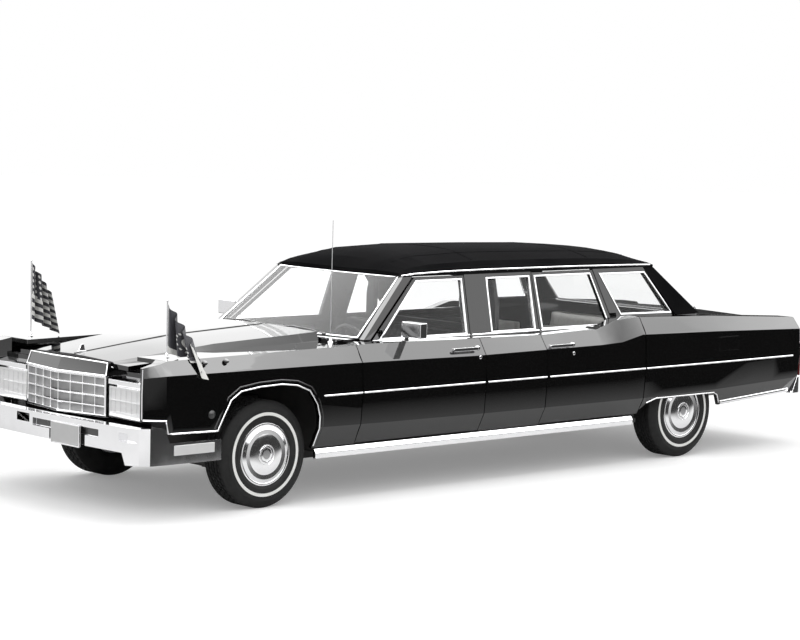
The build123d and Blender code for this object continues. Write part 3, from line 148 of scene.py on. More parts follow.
def edit_faces(piece: bpy.types.Object, test: Callable[[Vector, Vector], bool]) -> int:
    """Enters edit mode with the faces selected that pass a test.

    Args:
        piece: The object to edit.
        test: Takes a face's centre and normal, and says whether it is wanted.

    Returns:
        The number of faces selected.
    """
    activate(piece)
    bpy.ops.object.mode_set(mode="EDIT")
    bpy.ops.mesh.select_mode(type="FACE")
    bpy.ops.mesh.select_all(action="DESELECT")
    mesh = bmesh.from_edit_mesh(piece.data)
    found = 0
    for face in mesh.faces:
        if test(face.calc_center_median(), face.normal):
            face.select_set(True)
            found += 1
    bmesh.update_edit_mesh(piece.data)
    return found


def edit_all(piece: bpy.types.Object) -> None:
    """Enters edit mode with everything selected.

    Args:
        piece: The object to edit.
    """
    activate(piece)
    bpy.ops.object.mode_set(mode="EDIT")
    bpy.ops.mesh.select_all(action="SELECT")


def recalculate(piece: bpy.types.Object, merge: float = 1e-5) -> None:
    """Merges doubled points and turns all faces outwards.

    Args:
        piece: The object to clean.
        merge: Distance under which points are one.
    """
    edit_all(piece)
    bpy.ops.mesh.remove_doubles(threshold=merge)
    bpy.ops.mesh.normals_make_consistent(inside=False)
    bpy.ops.object.mode_set(mode="OBJECT")


def round_edges(
    piece: bpy.types.Object, width: float, angle: float = 25.0, segments: int = 2
) -> None:
    """Rounds the sharp edges with an applied bevel and smooths the shading.

    Args:
        piece: The object to finish.
        width: Width of the rounding.
        angle: Edges sharper than this, in degrees, are rounded.
        segments: Faces across the rounding.
    """
    activate(piece)
    bevel = piece.modifiers.new("rounding", "BEVEL")
    bevel.width = width
    bevel.segments = segments
    bevel.limit_method = "ANGLE"
    bevel.angle_limit = math.radians(angle)
    bevel.use_clamp_overlap = True
    bevel.miter_outer = "MITER_ARC"
    bpy.ops.object.modifier_apply(modifier=bevel.name)
    smooth(piece, angle + 5)


def smooth(piece: bpy.types.Object, angle: float = 30.0) -> None:
    """Smooths the shading, weighted by face area, and keeps edges sharp past an angle.

    Args:
        piece: The object to finish.
        angle: Sharp edge angle in degrees.
    """
    activate(piece)
    bpy.ops.object.shade_smooth_by_angle(angle=math.radians(angle))
    weighted = piece.modifiers.new("weighted", "WEIGHTED_NORMAL")
    weighted.keep_sharp = True
    weighted.weight = 80
    bpy.ops.object.modifier_apply(modifier=weighted.name)


def slab(name: str, low: Sequence[float], high: Sequence[float]) -> bpy.types.Object:
    """Box between two corners, to be shaped further.

    Args:
        name: The piece's name.
        low: Lowest corner.
        high: Highest corner.

    Returns:
        The object, with its place in its mesh.
    """
    deselect()
    centre = [(a + b) / 2 for a, b in zip(low, high)]
    bpy.ops.mesh.primitive_cube_add(size=1.0, location=centre)
    piece = name_piece(name)
    piece.scale = [b - a for a, b in zip(low, high)]
    apply_place(piece)
    return piece


def drum(
    name: str, centre: Sequence[float], axis: Sequence[float], radius: float, depth: float,
    sides: int = 32
) -> bpy.types.Object:
    """Cylinder about an axis, to be shaped further.

    Args:
        name: The piece's name.
        centre: Middle of the cylinder.
        axis: Direction of its axis.
        radius: Radius.
        depth: Length along the axis.
        sides: Faces round it.

    Returns:
        The object, with its place in its mesh.
    """
    deselect()
    turn = Vector(axis).to_track_quat("Z", "Y").to_euler()
    bpy.ops.mesh.primitive_cylinder_add(
        vertices=sides, radius=radius, depth=depth, location=centre, rotation=turn
    )
    piece = name_piece(name)
    apply_place(piece)
    return piece


def lathe(
    name: str, origin: Sequence[float], axis: Vector, profile: Sequence[tuple[float, float]],
    steps: int = 96
) -> bpy.types.Object:
    """Profile of (radius, height) spun about an axis.

    Args:
        name: The piece's name.
        origin: Where height is nought on the axis.
        axis: Direction of the axis.
        profile: Points of (radius, height), from the outer end to the inner.
        steps: Faces round the turn.

    Returns:
        The spun object with its normals outwards.
    """
    frame = axis.to_track_quat("Z", "Y").to_matrix()
    start = Vector(origin)

    piece = trace(name, [start + frame @ Vector((radius, 0, height)) for radius, height in profile])
    edit_all(piece)
    bpy.ops.mesh.spin(steps=steps, angle=math.tau, center=start, axis=axis)
    bpy.ops.object.mode_set(mode="OBJECT")
    recalculate(piece)
    return piece


def trace(name: str, path: Sequence[Sequence[float]], closed: bool = False) -> bpy.types.Object:
    """Line drawn through points by extruding a point, filled with a face where it is closed.

    Args:
        name: The piece's name.
        path: Points of the line.
        closed: Whether the line ends where it starts.

    Returns:
        The line or the filled outline.
    """
    deselect()
    points = [Vector(point) for point in path]
    bpy.ops.mesh.primitive_plane_add(size=0.01, location=(0, 0, 0))
    piece = name_piece(name)
    bpy.ops.object.mode_set(mode="EDIT")
    bpy.ops.mesh.select_mode(type="VERT")
    bpy.ops.mesh.select_all(action="SELECT")
    bpy.ops.mesh.merge(type="CENTER")
    bpy.ops.transform.translate(value=points[0])
    for before, after in zip(points, points[1:]):
        bpy.ops.mesh.extrude_region_move(TRANSFORM_OT_translate={"value": after - before})
    if closed:
        bpy.ops.mesh.select_all(action="SELECT")
        bpy.ops.mesh.edge_face_add()
    bpy.ops.object.mode_set(mode="OBJECT")
    return piece


def tube(
    name: str, path: Sequence[Sequence[float]], radius: float, closed: bool = False
) -> bpy.types.Object:
    """Round bar or bead that follows a line.

    Args:
        name: The piece's name.
        path: Points of its middle line.
        radius: Radius of the bar.
        closed: Whether it ends where it starts.

    Returns:
        The bar.
    """
    piece = trace(name, path, closed)
    if closed:
        edit_all(piece)
        bpy.ops.mesh.delete(type="ONLY_FACE")
        bpy.ops.object.mode_set(mode="OBJECT")
    activate(piece)
    bpy.ops.object.convert(target="CURVE")
    curve = bpy.context.object.data
    curve.bevel_depth = radius
    curve.bevel_resolution = 2
    curve.use_fill_caps = not closed
    bpy.ops.object.convert(target="MESH")
    piece = name_piece(name)
    recalculate(piece)
    smooth(piece, 50)
    return piece


def strip(
    name: str, path: Sequence[Sequence[float]], depth: float, height: float, sides: int = 8
) -> bpy.types.Object:
    """Long moulding of oval section, drawn along the car by extrusion.

    Args:
        name: The piece's name.
        path: Points of its middle line, mostly along the car.
        depth: Size across the car.
        height: Size upwards.
        sides: Faces round the section.

    Returns:
        The moulding.
    """
    deselect()
    points = [Vector(point) for point in path]
    bpy.ops.mesh.primitive_circle_add(
        vertices=sides, radius=0.5, fill_type="NGON", location=points[0],
        rotation=(0, math.pi / 2, 0)
    )
    piece = name_piece(name)
    piece.scale = (height, depth, 1)
    apply_place(piece)
    edit_all(piece)
    for before, after in zip(points, points[1:]):
        bpy.ops.mesh.extrude_region_move(TRANSFORM_OT_translate={"value": after - before})
    bpy.ops.object.mode_set(mode="OBJECT")
    recalculate(piece)
    smooth(piece, 50)
    return piece


def outline_panel(
    name: str, outline: Sequence[Sequence[float]], lift: Sequence[float], rounding: float = 0.002
) -> bpy.types.Object:
    """Flat panel of any outline, thickened and with rounded edges.

    Args:
        name: The piece's name.
        outline: Corners of the panel.
        lift: Vector of its thickness.
        rounding: Width of the rounded edges.

    Returns:
        The panel.
    """
    piece = trace(name, outline, closed=True)
    edit_all(piece)
    bpy.ops.mesh.extrude_region_move(TRANSFORM_OT_translate={"value": Vector(lift)})
    bpy.ops.object.mode_set(mode="OBJECT")
    recalculate(piece)
    round_edges(piece, rounding)
    return piece


def outline_frame(
    name: str, outline: Sequence[Sequence[float]], width: float, lift: Sequence[float],
    rounding: float = 0.002
) -> bpy.types.Object:
    """Frame of one width inside an outline, thickened and with rounded edges.

    Args:
        name: The piece's name.
        outline: Corners of its outer edge.
        width: Width of the frame.
        lift: Vector of its thickness.
        rounding: Width of the rounded edges.

    Returns:
        The frame.
    """
    piece = trace(name, outline, closed=True)
    activate(piece)
    bpy.ops.object.mode_set(mode="EDIT")
    bpy.ops.mesh.select_mode(type="FACE")
    bpy.ops.mesh.select_all(action="SELECT")
    bpy.ops.mesh.inset(thickness=width, use_even_offset=True)
    bpy.ops.mesh.delete(type="FACE")
    bpy.ops.mesh.select_all(action="SELECT")
    bpy.ops.mesh.extrude_region_move(TRANSFORM_OT_translate={"value": Vector(lift)})
    bpy.ops.object.mode_set(mode="OBJECT")
    recalculate(piece)
    round_edges(piece, rounding)
    return piece


def joined(name: str, parts: Iterable[bpy.types.Object]) -> bpy.types.Object:
    """Joins objects into one mesh.

    Args:
        name: Name of the joined piece.
        parts: The objects to join.

    Returns:
        The joined object.
    """
    members = list(parts)
    deselect()
    for part in members:
        part.select_set(True)
    bpy.context.view_layer.objects.active = members[0]
    bpy.ops.object.join()
    return name_piece(name)


# The frame


@dataclass
class Frame:
    """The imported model: its nodes, bodies, record and the surfaces of its body."""

    loaded: dict
    surfaces: dict[str, BVHTree] = field(default_factory=dict)

    def body_of(self, node: str) -> str:
        """Body that a node rides on.

        Args:
            node: Name of a CAD node.

        Returns:
            Name of its body.
        """
        bodies = self.loaded["record"]["behaviour"]["bodies"]
        return next(body for body, nodes in bodies.items() if node in nodes)

    def node(self, name: str) -> bpy.types.Object:
        """Object of a CAD node."""
        return self.loaded["nodes"][name]

    def surface(self, name: str) -> BVHTree:
        """Search tree of a node's surface, kept once made.

        Args:
            name: Name of a CAD node.

        Returns:
            The tree.
        """
        if name not in self.surfaces:
            mesh = self.node(name).data
            points = [vertex.co.copy() for vertex in mesh.vertices]
            faces = [tuple(face.vertices) for face in mesh.polygons]
            self.surfaces[name] = BVHTree.FromPolygons(points, faces)
        return self.surfaces[name]

    def side_y(self, node: str, x: float, z: float, side: Side) -> float | None:
        """Y of a node's outer surface at a place on one side.

        Args:
            node: Name of a CAD node.
            x: Place along the car.
            z: Height.
            side: Side of the car.

        Returns:
            Y, or None where the surface has nothing there.
        """
        start = Vector((x, side.value * 2.0, z))
        hit = self.surface(node).ray_cast(start, Vector((0, -side.value, 0)))[0]
        return hit.y if hit else None

    def top_z(self, node: str, x: float, y: float) -> float | None:
        """Height of a node's upper surface at a place.

        Args:
            node: Name of a CAD node.
            x: Place along the car.
            y: Place across the car.

        Returns:
            Height, or None where the surface has nothing there.
        """
        hit = self.surface(node).ray_cast(Vector((x, y, 3.0)), Vector((0, 0, -1)))[0]
        return hit.z if hit else None


FRAME = Frame({})


def place_piece(
    piece: bpy.types.Object, body: str, finish: bpy.types.Material
) -> bpy.types.Object:
    """Gives a finished piece its body and material.

    Args:
        piece: The piece.
        body: Body that it rides on.
        finish: Its material.

    Returns:
        The piece.
    """
    piece.data.materials.clear()
    piece.data.materials.append(finish)
    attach(piece, body)
    return piece


def refined(
    node: str, name: str, finish: bpy.types.Material, rounding: float = 0.003, angle: float = 18.0,
    flatten: bool = True
) -> bpy.types.Object:
    """Finished copy of a CAD node: merged, with clean faces, rounded edges and its own material.

    Args:
        node: The CAD node that the copy replaces.
        name: Name of the piece.
        finish: Its material.
        rounding: Width of the rounded edges.
        angle: Edges sharper than this, in degrees, are rounded.
        flatten: Whether flat faces are made one.

    Returns:
        The piece.
    """
    activate(FRAME.node(node))
    bpy.ops.object.duplicate(linked=False)
    piece = name_piece(name)
    piece.parent = None
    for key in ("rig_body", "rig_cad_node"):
        if key in piece:
            del piece[key]
    edit_all(piece)
    bpy.ops.mesh.remove_doubles(threshold=2e-5)
    if flatten:
        bpy.ops.mesh.dissolve_limited(angle_limit=math.radians(0.4))
    bpy.ops.object.mode_set(mode="OBJECT")
    round_edges(piece, rounding, angle)
    place_piece(piece, FRAME.body_of(node), finish)
    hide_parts(node)
    return piece


def second_finish(
    piece: bpy.types.Object, finish: bpy.types.Material, test: Callable[[Vector, Vector], bool]
) -> None:
    """Gives some faces of a piece another material.

    Args:
        piece: The piece.
        finish: The other material.
        test: Takes a face's centre and normal, and says whether it gets it.
    """
    piece.data.materials.append(finish)
    for face in piece.data.polygons:
        if test(face.center, face.normal):
            face.material_index = len(piece.data.materials) - 1


def dress(node: str, finish: bpy.types.Material) -> None:
    """Gives a CAD node that shows as it is its material.

    Args:
        node: Name of the CAD node.
        finish: Its material.
    """
    target = FRAME.node(node)
    target.data.materials.clear()
    target.data.materials.append(finish)


# Finishes


class Nodes:
    """Small writer of shader nodes."""

    def __init__(self, tree: bpy.types.NodeTree) -> None:
        """Starts on an empty tree.

        Args:
            tree: The node tree to write.
        """
        self.tree = tree
        tree.nodes.clear()

    def add(self, kind: str, **settings: object) -> bpy.types.Node:
        """Adds a node and sets its properties and inputs.

        Args:
            kind: Blender's name of the node.
            **settings: Properties by name; inputs start with in_ and a name or number.

        Returns:
            The node.
        """
        node = self.tree.nodes.new(kind)
        for key, value in settings.items():
            if key.startswith("in_"):
                word = key[3:].replace("_", " ")
                socket = node.inputs[int(word)] if word.isdigit() else node.inputs[word]
                socket.default_value = value
            else:
                setattr(node, key, value)
        return node

    def link(self, source: bpy.types.NodeSocket, target: bpy.types.NodeSocket) -> None:
        """Joins two sockets."""
        self.tree.links.new(source, target)


def shader_group(
    name: str, inputs: Sequence[tuple[str, str, float | tuple]], outputs: Sequence[tuple[str, str]]
) -> tuple:
    """New shader node group with named sockets.

    Args:
        name: Name of the group.
        inputs: Name, socket type and default of each input.
        outputs: Name and socket type of each output.

    Returns:
        The group, its node writer, and its input and output nodes.
    """
    group = bpy.data.node_groups.new(name, "ShaderNodeTree")
    for label, kind, value in inputs:
        socket = group.interface.new_socket(name=label, in_out="INPUT", socket_type=kind)
        socket.default_value = value
    for label, kind in outputs:
        group.interface.new_socket(name=label, in_out="OUTPUT", socket_type=kind)
    write = Nodes(group)
    return group, write, write.add("NodeGroupInput"), write.add("NodeGroupOutput")


def soiling_group() -> bpy.types.NodeTree:
    """Group for dust and uneven polish: a mottled mask, a tinted colour and a roughness.

    Returns:
        The group.
    """
    group, write, start, end = shader_group(
        "soiling",
        [
            ("Colour", "NodeSocketColor", (0.5, 0.5, 0.5, 1)),
            ("Dust", "NodeSocketColor", (0.3, 0.3, 0.3, 1)),
            ("Amount", "NodeSocketFloat", 0.1),
            ("Scale", "NodeSocketFloat", 3.0),
            ("Roughness", "NodeSocketFloat", 0.3),
            ("Spread", "NodeSocketFloat", 0.1),
        ],
        [("Colour", "NodeSocketColor"), ("Roughness", "NodeSocketFloat")],
    )
    place = write.add("ShaderNodeTexCoord")
    noise = write.add("ShaderNodeTexNoise", in_Detail=5.0, in_Roughness=0.62)
    write.link(place.outputs["Object"], noise.inputs["Vector"])
    write.link(start.outputs["Scale"], noise.inputs["Scale"])
    ramp = write.add("ShaderNodeMapRange", in_1=0.35, in_2=0.72)
    write.link(noise.outputs["Fac"], ramp.inputs["Value"])
    amount = write.add("ShaderNodeMath", operation="MULTIPLY")
    write.link(ramp.outputs["Result"], amount.inputs[0])
    write.link(start.outputs["Amount"], amount.inputs[1])
    mix = write.add("ShaderNodeMix", data_type="RGBA")
    write.link(amount.outputs[0], mix.inputs["Factor"])
    write.link(start.outputs["Colour"], mix.inputs["A"])
    write.link(start.outputs["Dust"], mix.inputs["B"])
    write.link(mix.outputs["Result"], end.inputs["Colour"])
    rough = write.add("ShaderNodeMath", operation="MULTIPLY_ADD", use_clamp=True)
    write.link(ramp.outputs["Result"], rough.inputs[0])
    write.link(start.outputs["Spread"], rough.inputs[1])
    write.link(start.outputs["Roughness"], rough.inputs[2])
    write.link(rough.outputs[0], end.inputs["Roughness"])
    return group


def grain_group() -> bpy.types.NodeTree:
    """Group for pressed grain: the height of small cells over a finer noise.

    Returns:
        The group.
    """
    group, write, start, end = shader_group(
        "grain",
        [("Scale", "NodeSocketFloat", 300.0), ("Fine", "NodeSocketFloat", 0.4)],
        [("Height", "NodeSocketFloat")],
    )
    place = write.add("ShaderNodeTexCoord")
    cells = write.add("ShaderNodeTexVoronoi", feature="F1")
    write.link(place.outputs["Object"], cells.inputs["Vector"])
    write.link(start.outputs["Scale"], cells.inputs["Scale"])
    noise = write.add("ShaderNodeTexNoise", in_Detail=3.0)
    write.link(place.outputs["Object"], noise.inputs["Vector"])
    write.link(start.outputs["Scale"], noise.inputs["Scale"])
    blend = write.add("ShaderNodeMath", operation="MULTIPLY_ADD")
    write.link(noise.outputs["Fac"], blend.inputs[0])
    write.link(start.outputs["Fine"], blend.inputs[1])
    write.link(cells.outputs["Distance"], blend.inputs[2])
    write.link(blend.outputs[0], end.inputs["Height"])
    return group


def weave_group() -> bpy.types.NodeTree:
    """Group for woven cloth: crossed threads as a height.

    Returns:
        The group.
    """
    group, write, start, end = shader_group(
        "weave",
        [("Scale", "NodeSocketFloat", 900.0)],
        [("Height", "NodeSocketFloat")],
    )
    place = write.add("ShaderNodeTexCoord")
    heights = []
    for direction in ("X", "Z", "Y"):
        wave = write.add(
            "ShaderNodeTexWave", wave_type="BANDS", bands_direction=direction, in_Distortion=0.6
        )
        write.link(place.outputs["Object"], wave.inputs["Vector"])
        write.link(start.outputs["Scale"], wave.inputs["Scale"])
        heights.append(wave.outputs["Fac"])
    first = write.add("ShaderNodeMath", operation="MAXIMUM")
    write.link(heights[0], first.inputs[0])
    write.link(heights[1], first.inputs[1])
    second = write.add("ShaderNodeMath", operation="MAXIMUM")
    write.link(first.outputs[0], second.inputs[0])
    write.link(heights[2], second.inputs[1])
    write.link(second.outputs[0], end.inputs["Height"])
    return group


class Relief(Enum):
    """Kind of fine relief that a finish has."""

    NONE = "none"
    GRAIN = "grain"
    WEAVE = "weave"


GROUPS: dict[str, bpy.types.NodeTree] = {}


def make_groups() -> None:
    """Makes the shared shader groups once."""
    GROUPS["soiling"] = soiling_group()
    GROUPS["grain"] = grain_group()
    GROUPS["weave"] = weave_group()


@dataclass(frozen=True)
class Finish:
    """Finish of a surface: colour, dust, gloss, coat and relief."""

    name: str
    colour: Colour
    dust: Colour = (0.25, 0.25, 0.25)
    dust_amount: float = 0.05
    dust_scale: float = 2.5
    roughness: float = 0.4
    spread: float = 0.08
    metallic: float = 0.0
    coat: float = 0.0
    coat_roughness: float = 0.03
    ior: float = 1.5
    sheen: float = 0.0
    relief: Relief = Relief.NONE
    relief_scale: float = 400.0
    relief_depth: float = 0.0003

    def material(self) -> bpy.types.Material:
        """Makes the material.

        Returns:
            The material.
        """
        material = bpy.data.materials.new(self.name)
        material.use_nodes = True
        write = Nodes(material.node_tree)
        out = write.add("ShaderNodeOutputMaterial")
        shader = write.add("ShaderNodeBsdfPrincipled")
        shader.inputs["Metallic"].default_value = self.metallic
        shader.inputs["Coat Weight"].default_value = self.coat
        shader.inputs["Coat Roughness"].default_value = self.coat_roughness
        shader.inputs["IOR"].default_value = self.ior
        shader.inputs["Sheen Weight"].default_value = self.sheen
        write.link(shader.outputs[0], out.inputs["Surface"])
        soil = write.add("ShaderNodeGroup", node_tree=GROUPS["soiling"])
        soil.inputs["Colour"].default_value = (*self.colour, 1)
        soil.inputs["Dust"].default_value = (*self.dust, 1)
        soil.inputs["Amount"].default_value = self.dust_amount
        soil.inputs["Scale"].default_value = self.dust_scale
        soil.inputs["Roughness"].default_value = self.roughness
        soil.inputs["Spread"].default_value = self.spread
        write.link(soil.outputs["Colour"], shader.inputs["Base Color"])
        write.link(soil.outputs["Roughness"], shader.inputs["Roughness"])
        if self.relief is not Relief.NONE:
            relief = write.add("ShaderNodeGroup", node_tree=GROUPS[self.relief.value])
            relief.inputs["Scale"].default_value = self.relief_scale
            bump = write.add("ShaderNodeBump", in_Strength=1.0, in_Distance=self.relief_depth)
            write.link(relief.outputs["Height"], bump.inputs["Height"])
            write.link(bump.outputs["Normal"], shader.inputs["Normal"])
        return material


@dataclass(frozen=True)
class Glazing:
    """Clear glass that lets light through to what is behind it."""

    name: str
    tint: Colour
    roughness: float = 0.0
    ior: float = 1.45

    def material(self) -> bpy.types.Material:
        """Makes the material.

        Returns:
            The material.
        """
        material = bpy.data.materials.new(self.name)
        material.use_nodes = True
        write = Nodes(material.node_tree)
        out = write.add("ShaderNodeOutputMaterial")
        shader = write.add("ShaderNodeBsdfPrincipled")
        shader.inputs["Base Color"].default_value = (*self.tint, 1)
        shader.inputs["Roughness"].default_value = self.roughness
        shader.inputs["IOR"].default_value = self.ior
        shader.inputs["Transmission Weight"].default_value = 1.0
        clear = write.add("ShaderNodeBsdfTransparent", in_Color=(*self.tint, 1))
        path = write.add("ShaderNodeLightPath")
        either = write.add("ShaderNodeMath", operation="MAXIMUM")
        write.link(path.outputs["Is Shadow Ray"], either.inputs[0])
        write.link(path.outputs["Is Diffuse Ray"], either.inputs[1])
        mix = write.add("ShaderNodeMixShader")
        write.link(either.outputs[0], mix.inputs[0])
        write.link(shader.outputs[0], mix.inputs[1])
        write.link(clear.outputs[0], mix.inputs[2])
        write.link(mix.outputs[0], out.inputs["Surface"])
        return material


def maths(
    write: Nodes, operation: str, first: object, second: object = 0.0
) -> bpy.types.NodeSocket:
    """Adds one sum of two sockets or numbers.

    Args:
        write: Writer of the tree.
        operation: Blender's name of the sum.
        first: Socket or number.
        second: Socket or number.

    Returns:
        The result's socket.
    """
    node = write.add("ShaderNodeMath", operation=operation)
    for slot, value in enumerate((first, second)):
        if isinstance(value, bpy.types.NodeSocket):
            write.link(value, node.inputs[slot])
        else:
            node.inputs[slot].default_value = value
    return node.outputs[0]


@dataclass(frozen=True)
class FlagDesign:
    """Woven cloth of a flag in two plain colours.

    It has stripes with a dotted corner, or a border with a ring of dots.
    """

    name: str
    dark: Colour = (0.014, 0.014, 0.020)
    pale: Colour = (0.62, 0.62, 0.60)
    stripes: int = 0
    canton: tuple[float, float] = (0.0, 0.0)
    dots: tuple[int, int] = (1, 1)
    border: float = 0.0
    roundel: float = 0.0
    dot_reach: float = 0.07
    ring_radius: float = 0.24
    ring_half_width: float = 0.022
    ring_dots: int = 14
    ring_gap: float = 0.55
    weave_scale: float = 1200.0
    weave_depth: float = 0.0002

    def striped(
        self, write: Nodes, x: bpy.types.NodeSocket, y: bpy.types.NodeSocket
    ) -> bpy.types.NodeSocket:
        """Mask of the stripes and the corner's dots.

        Args:
            write: Writer of the tree.
            x: Share along the fly.
            y: Share up the hoist.

        Returns:
            The mask's socket.
        """
        band = maths(write, "FRACT", maths(write, "MULTIPLY", y, self.stripes / 2))
        stripe = maths(write, "GREATER_THAN", band, 0.5)
        left = maths(write, "LESS_THAN", x, self.canton[0])
        upper = maths(write, "GREATER_THAN", y, 1 - self.canton[1])
        corner = maths(write, "MULTIPLY", left, upper)
        gaps = []
        for share, count, size in (
            (x, self.dots[0], self.canton[0]), (y, self.dots[1], self.canton[1])
        ):
            cell = maths(write, "FRACT", maths(write, "MULTIPLY", share, count / size))
            gaps.append(maths(write, "POWER", maths(write, "SUBTRACT", cell, 0.5), 2.0))
        dot = maths(write, "LESS_THAN", maths(write, "ADD", gaps[0], gaps[1]), self.dot_reach)
        outside = maths(write, "MULTIPLY", stripe, maths(write, "SUBTRACT", 1.0, corner))
        return maths(write, "ADD", outside, maths(write, "MULTIPLY", dot, corner))

    def bordered(
        self, write: Nodes, x: bpy.types.NodeSocket, y: bpy.types.NodeSocket
    ) -> bpy.types.NodeSocket:
        """Mask of the border, the ring of dots and the plain disc in it.

        Args:
            write: Writer of the tree.
            x: Share along the fly.
            y: Share up the hoist.

        Returns:
            The mask's socket.
        """
        end = maths(write, "GREATER_THAN", x, 1 - self.border)
        foot = maths(write, "LESS_THAN", y, self.border * 1.5)
        edge = maths(write, "MAXIMUM", end, foot)
        across = maths(write, "MULTIPLY", maths(write, "SUBTRACT", x, 0.5), 1.5)
        up = maths(write, "SUBTRACT", y, 0.5)
        squares = maths(
            write, "ADD", maths(write, "POWER", across, 2.0), maths(write, "POWER", up, 2.0)
        )
        reach = maths(write, "SQRT", squares)
        disc = maths(write, "LESS_THAN", reach, self.roundel)
        turn = maths(
            write, "MULTIPLY", maths(write, "ARCTAN2", up, across), self.ring_dots / math.tau
        )
        beat = maths(write, "GREATER_THAN", maths(write, "FRACT", turn), self.ring_gap)
        off_ring = maths(write, "ABSOLUTE", maths(write, "SUBTRACT", reach, self.ring_radius))
        ring = maths(write, "LESS_THAN", off_ring, self.ring_half_width)
        dots = maths(write, "MULTIPLY", beat, ring)
        return maths(write, "MAXIMUM", edge, maths(write, "MAXIMUM", disc, dots))

    def material(self) -> bpy.types.Material:
        """Makes the material on the cloth's own UV map.

        Returns:
            The material.
        """
        material = bpy.data.materials.new(self.name)
        material.use_nodes = True
        write = Nodes(material.node_tree)
        out = write.add("ShaderNodeOutputMaterial")
        shader = write.add("ShaderNodeBsdfPrincipled")
        shader.inputs["Roughness"].default_value = 0.75
        shader.inputs["Sheen Weight"].default_value = 0.3
        write.link(shader.outputs[0], out.inputs["Surface"])
        place = write.add("ShaderNodeTexCoord")
        parts = write.add("ShaderNodeSeparateXYZ")
        write.link(place.outputs["UV"], parts.inputs[0])
        build = self.striped if self.stripes else self.bordered
        mask = build(write, parts.outputs["X"], parts.outputs["Y"])
        mix = write.add(
            "ShaderNodeMix", data_type="RGBA", in_A=(*self.dark, 1), in_B=(*self.pale, 1)
        )
        write.link(mask, mix.inputs["Factor"])
        write.link(mix.outputs["Result"], shader.inputs["Base Color"])
        relief = write.add("ShaderNodeGroup", node_tree=GROUPS["weave"])
        relief.inputs["Scale"].default_value = self.weave_scale
        bump = write.add("ShaderNodeBump", in_Strength=1.0, in_Distance=self.weave_depth)
        write.link(relief.outputs["Height"], bump.inputs["Height"])
        write.link(bump.outputs["Normal"], shader.inputs["Normal"])
        return material


PAINT = Finish(
    "black_paint", (0.0015, 0.0015, 0.0015), dust=(0.02, 0.02, 0.02), dust_amount=0.03,
    dust_scale=1.6,
    roughness=0.02, spread=0.015, ior=1.66,
)
CHROME = Finish(
    "chrome", (0.88, 0.88, 0.89), dust=(0.55, 0.55, 0.55), dust_amount=0.10, dust_scale=9.0,
    roughness=0.10, spread=0.05, metallic=1.0,
)
VINYL = Finish(
    "roof_vinyl", (0.006, 0.006, 0.0065), dust=(0.03, 0.03, 0.03), dust_amount=0.25, dust_scale=2.2,
    ior=1.03, roughness=0.7, spread=0.2, relief=Relief.GRAIN, relief_scale=420.0,
    relief_depth=0.0004,
)
CHASSIS = Finish(
    "underbody", (0.012, 0.012, 0.012), dust=(0.07, 0.065, 0.06), dust_amount=0.5, dust_scale=5.0,
    roughness=0.6, spread=0.2, relief=Relief.GRAIN, relief_scale=180.0, relief_depth=0.0004,
)
RUBBER = Finish(
    "tyre_rubber", (0.009, 0.009, 0.009), dust=(0.04, 0.04, 0.04), dust_amount=0.4, ior=1.3,
    dust_scale=12.0,
    roughness=0.62, spread=0.18, relief=Relief.GRAIN, relief_scale=500.0, relief_depth=0.0002,
)
WHITEWALL = Finish(
    "whitewall", (0.78, 0.78, 0.76), dust=(0.5, 0.5, 0.48), dust_amount=0.25, dust_scale=14.0,
    roughness=0.5,
)
CAST = Finish(
    "cast_metal", (0.06, 0.06, 0.06), dust=(0.12, 0.11, 0.1), dust_amount=0.6, dust_scale=8.0,
    roughness=0.55, spread=0.2, metallic=0.7, relief=Relief.GRAIN, relief_scale=260.0,
)
STEEL = Finish(
    "bare_steel", (0.35, 0.35, 0.35), dust=(0.18, 0.16, 0.15), dust_amount=0.6, dust_scale=7.0,
    roughness=0.42, spread=0.2, metallic=0.9,
)
DARK_LEATHER = Finish(
    "dark_leather", (0.018, 0.018, 0.019), dust=(0.07, 0.07, 0.07), dust_amount=0.2, dust_scale=6.0,
    roughness=0.42, spread=0.15, relief=Relief.GRAIN, relief_scale=520.0,
)
PALE_CLOTH = Finish(
    "pale_cloth", (0.52, 0.51, 0.49), dust=(0.38, 0.37, 0.35), dust_amount=0.3, dust_scale=5.0,
    roughness=0.85, sheen=0.3, relief=Relief.WEAVE, relief_scale=700.0,
)
MOULDED = Finish(
    "moulded_black", (0.015, 0.015, 0.015), dust=(0.06, 0.06, 0.06), dust_amount=0.2,
    dust_scale=8.0,
    roughness=0.25, spread=0.1, coat=0.3,
)
PLATE = Finish(
    "plate_grey", (0.46, 0.46, 0.46), dust=(0.36, 0.36, 0.36), dust_amount=0.3, dust_scale=12.0,
    roughness=0.35, spread=0.1, relief=Relief.GRAIN, relief_scale=150.0,
)
LAMP = Finish(
    "lamp_lens", (0.62, 0.62, 0.62), dust=(0.45, 0.45, 0.45), dust_amount=0.2, dust_scale=20.0,
    roughness=0.12, spread=0.08, coat=1.0,
)
TAIL_LENS = Finish(
    "tail_lens", (0.10, 0.010, 0.010), dust=(0.05, 0.02, 0.02), dust_amount=0.2, dust_scale=20.0,
    roughness=0.12, spread=0.05, coat=1.0,
)
SATIN = Finish(
    "satin_bright", (0.62, 0.62, 0.62), dust=(0.45, 0.45, 0.45), dust_amount=0.2, dust_scale=14.0,
    roughness=0.42, spread=0.1, metallic=0.25,
)
GRILLE_GREY = Finish(
    "grille_grey", (0.30, 0.30, 0.30), dust=(0.2, 0.2, 0.2), dust_amount=0.3, dust_scale=14.0,
    roughness=0.5, spread=0.1, metallic=0.3,
)
FLAG_STRIPED = FlagDesign("flag_striped", stripes=13, canton=(0.42, 0.54), dots=(6, 5))
FLAG_BORDERED = FlagDesign("flag_bordered", border=0.085, roundel=0.13)
GLASS = Glazing("window_glass", (0.985, 0.99, 0.99), ior=1.25)


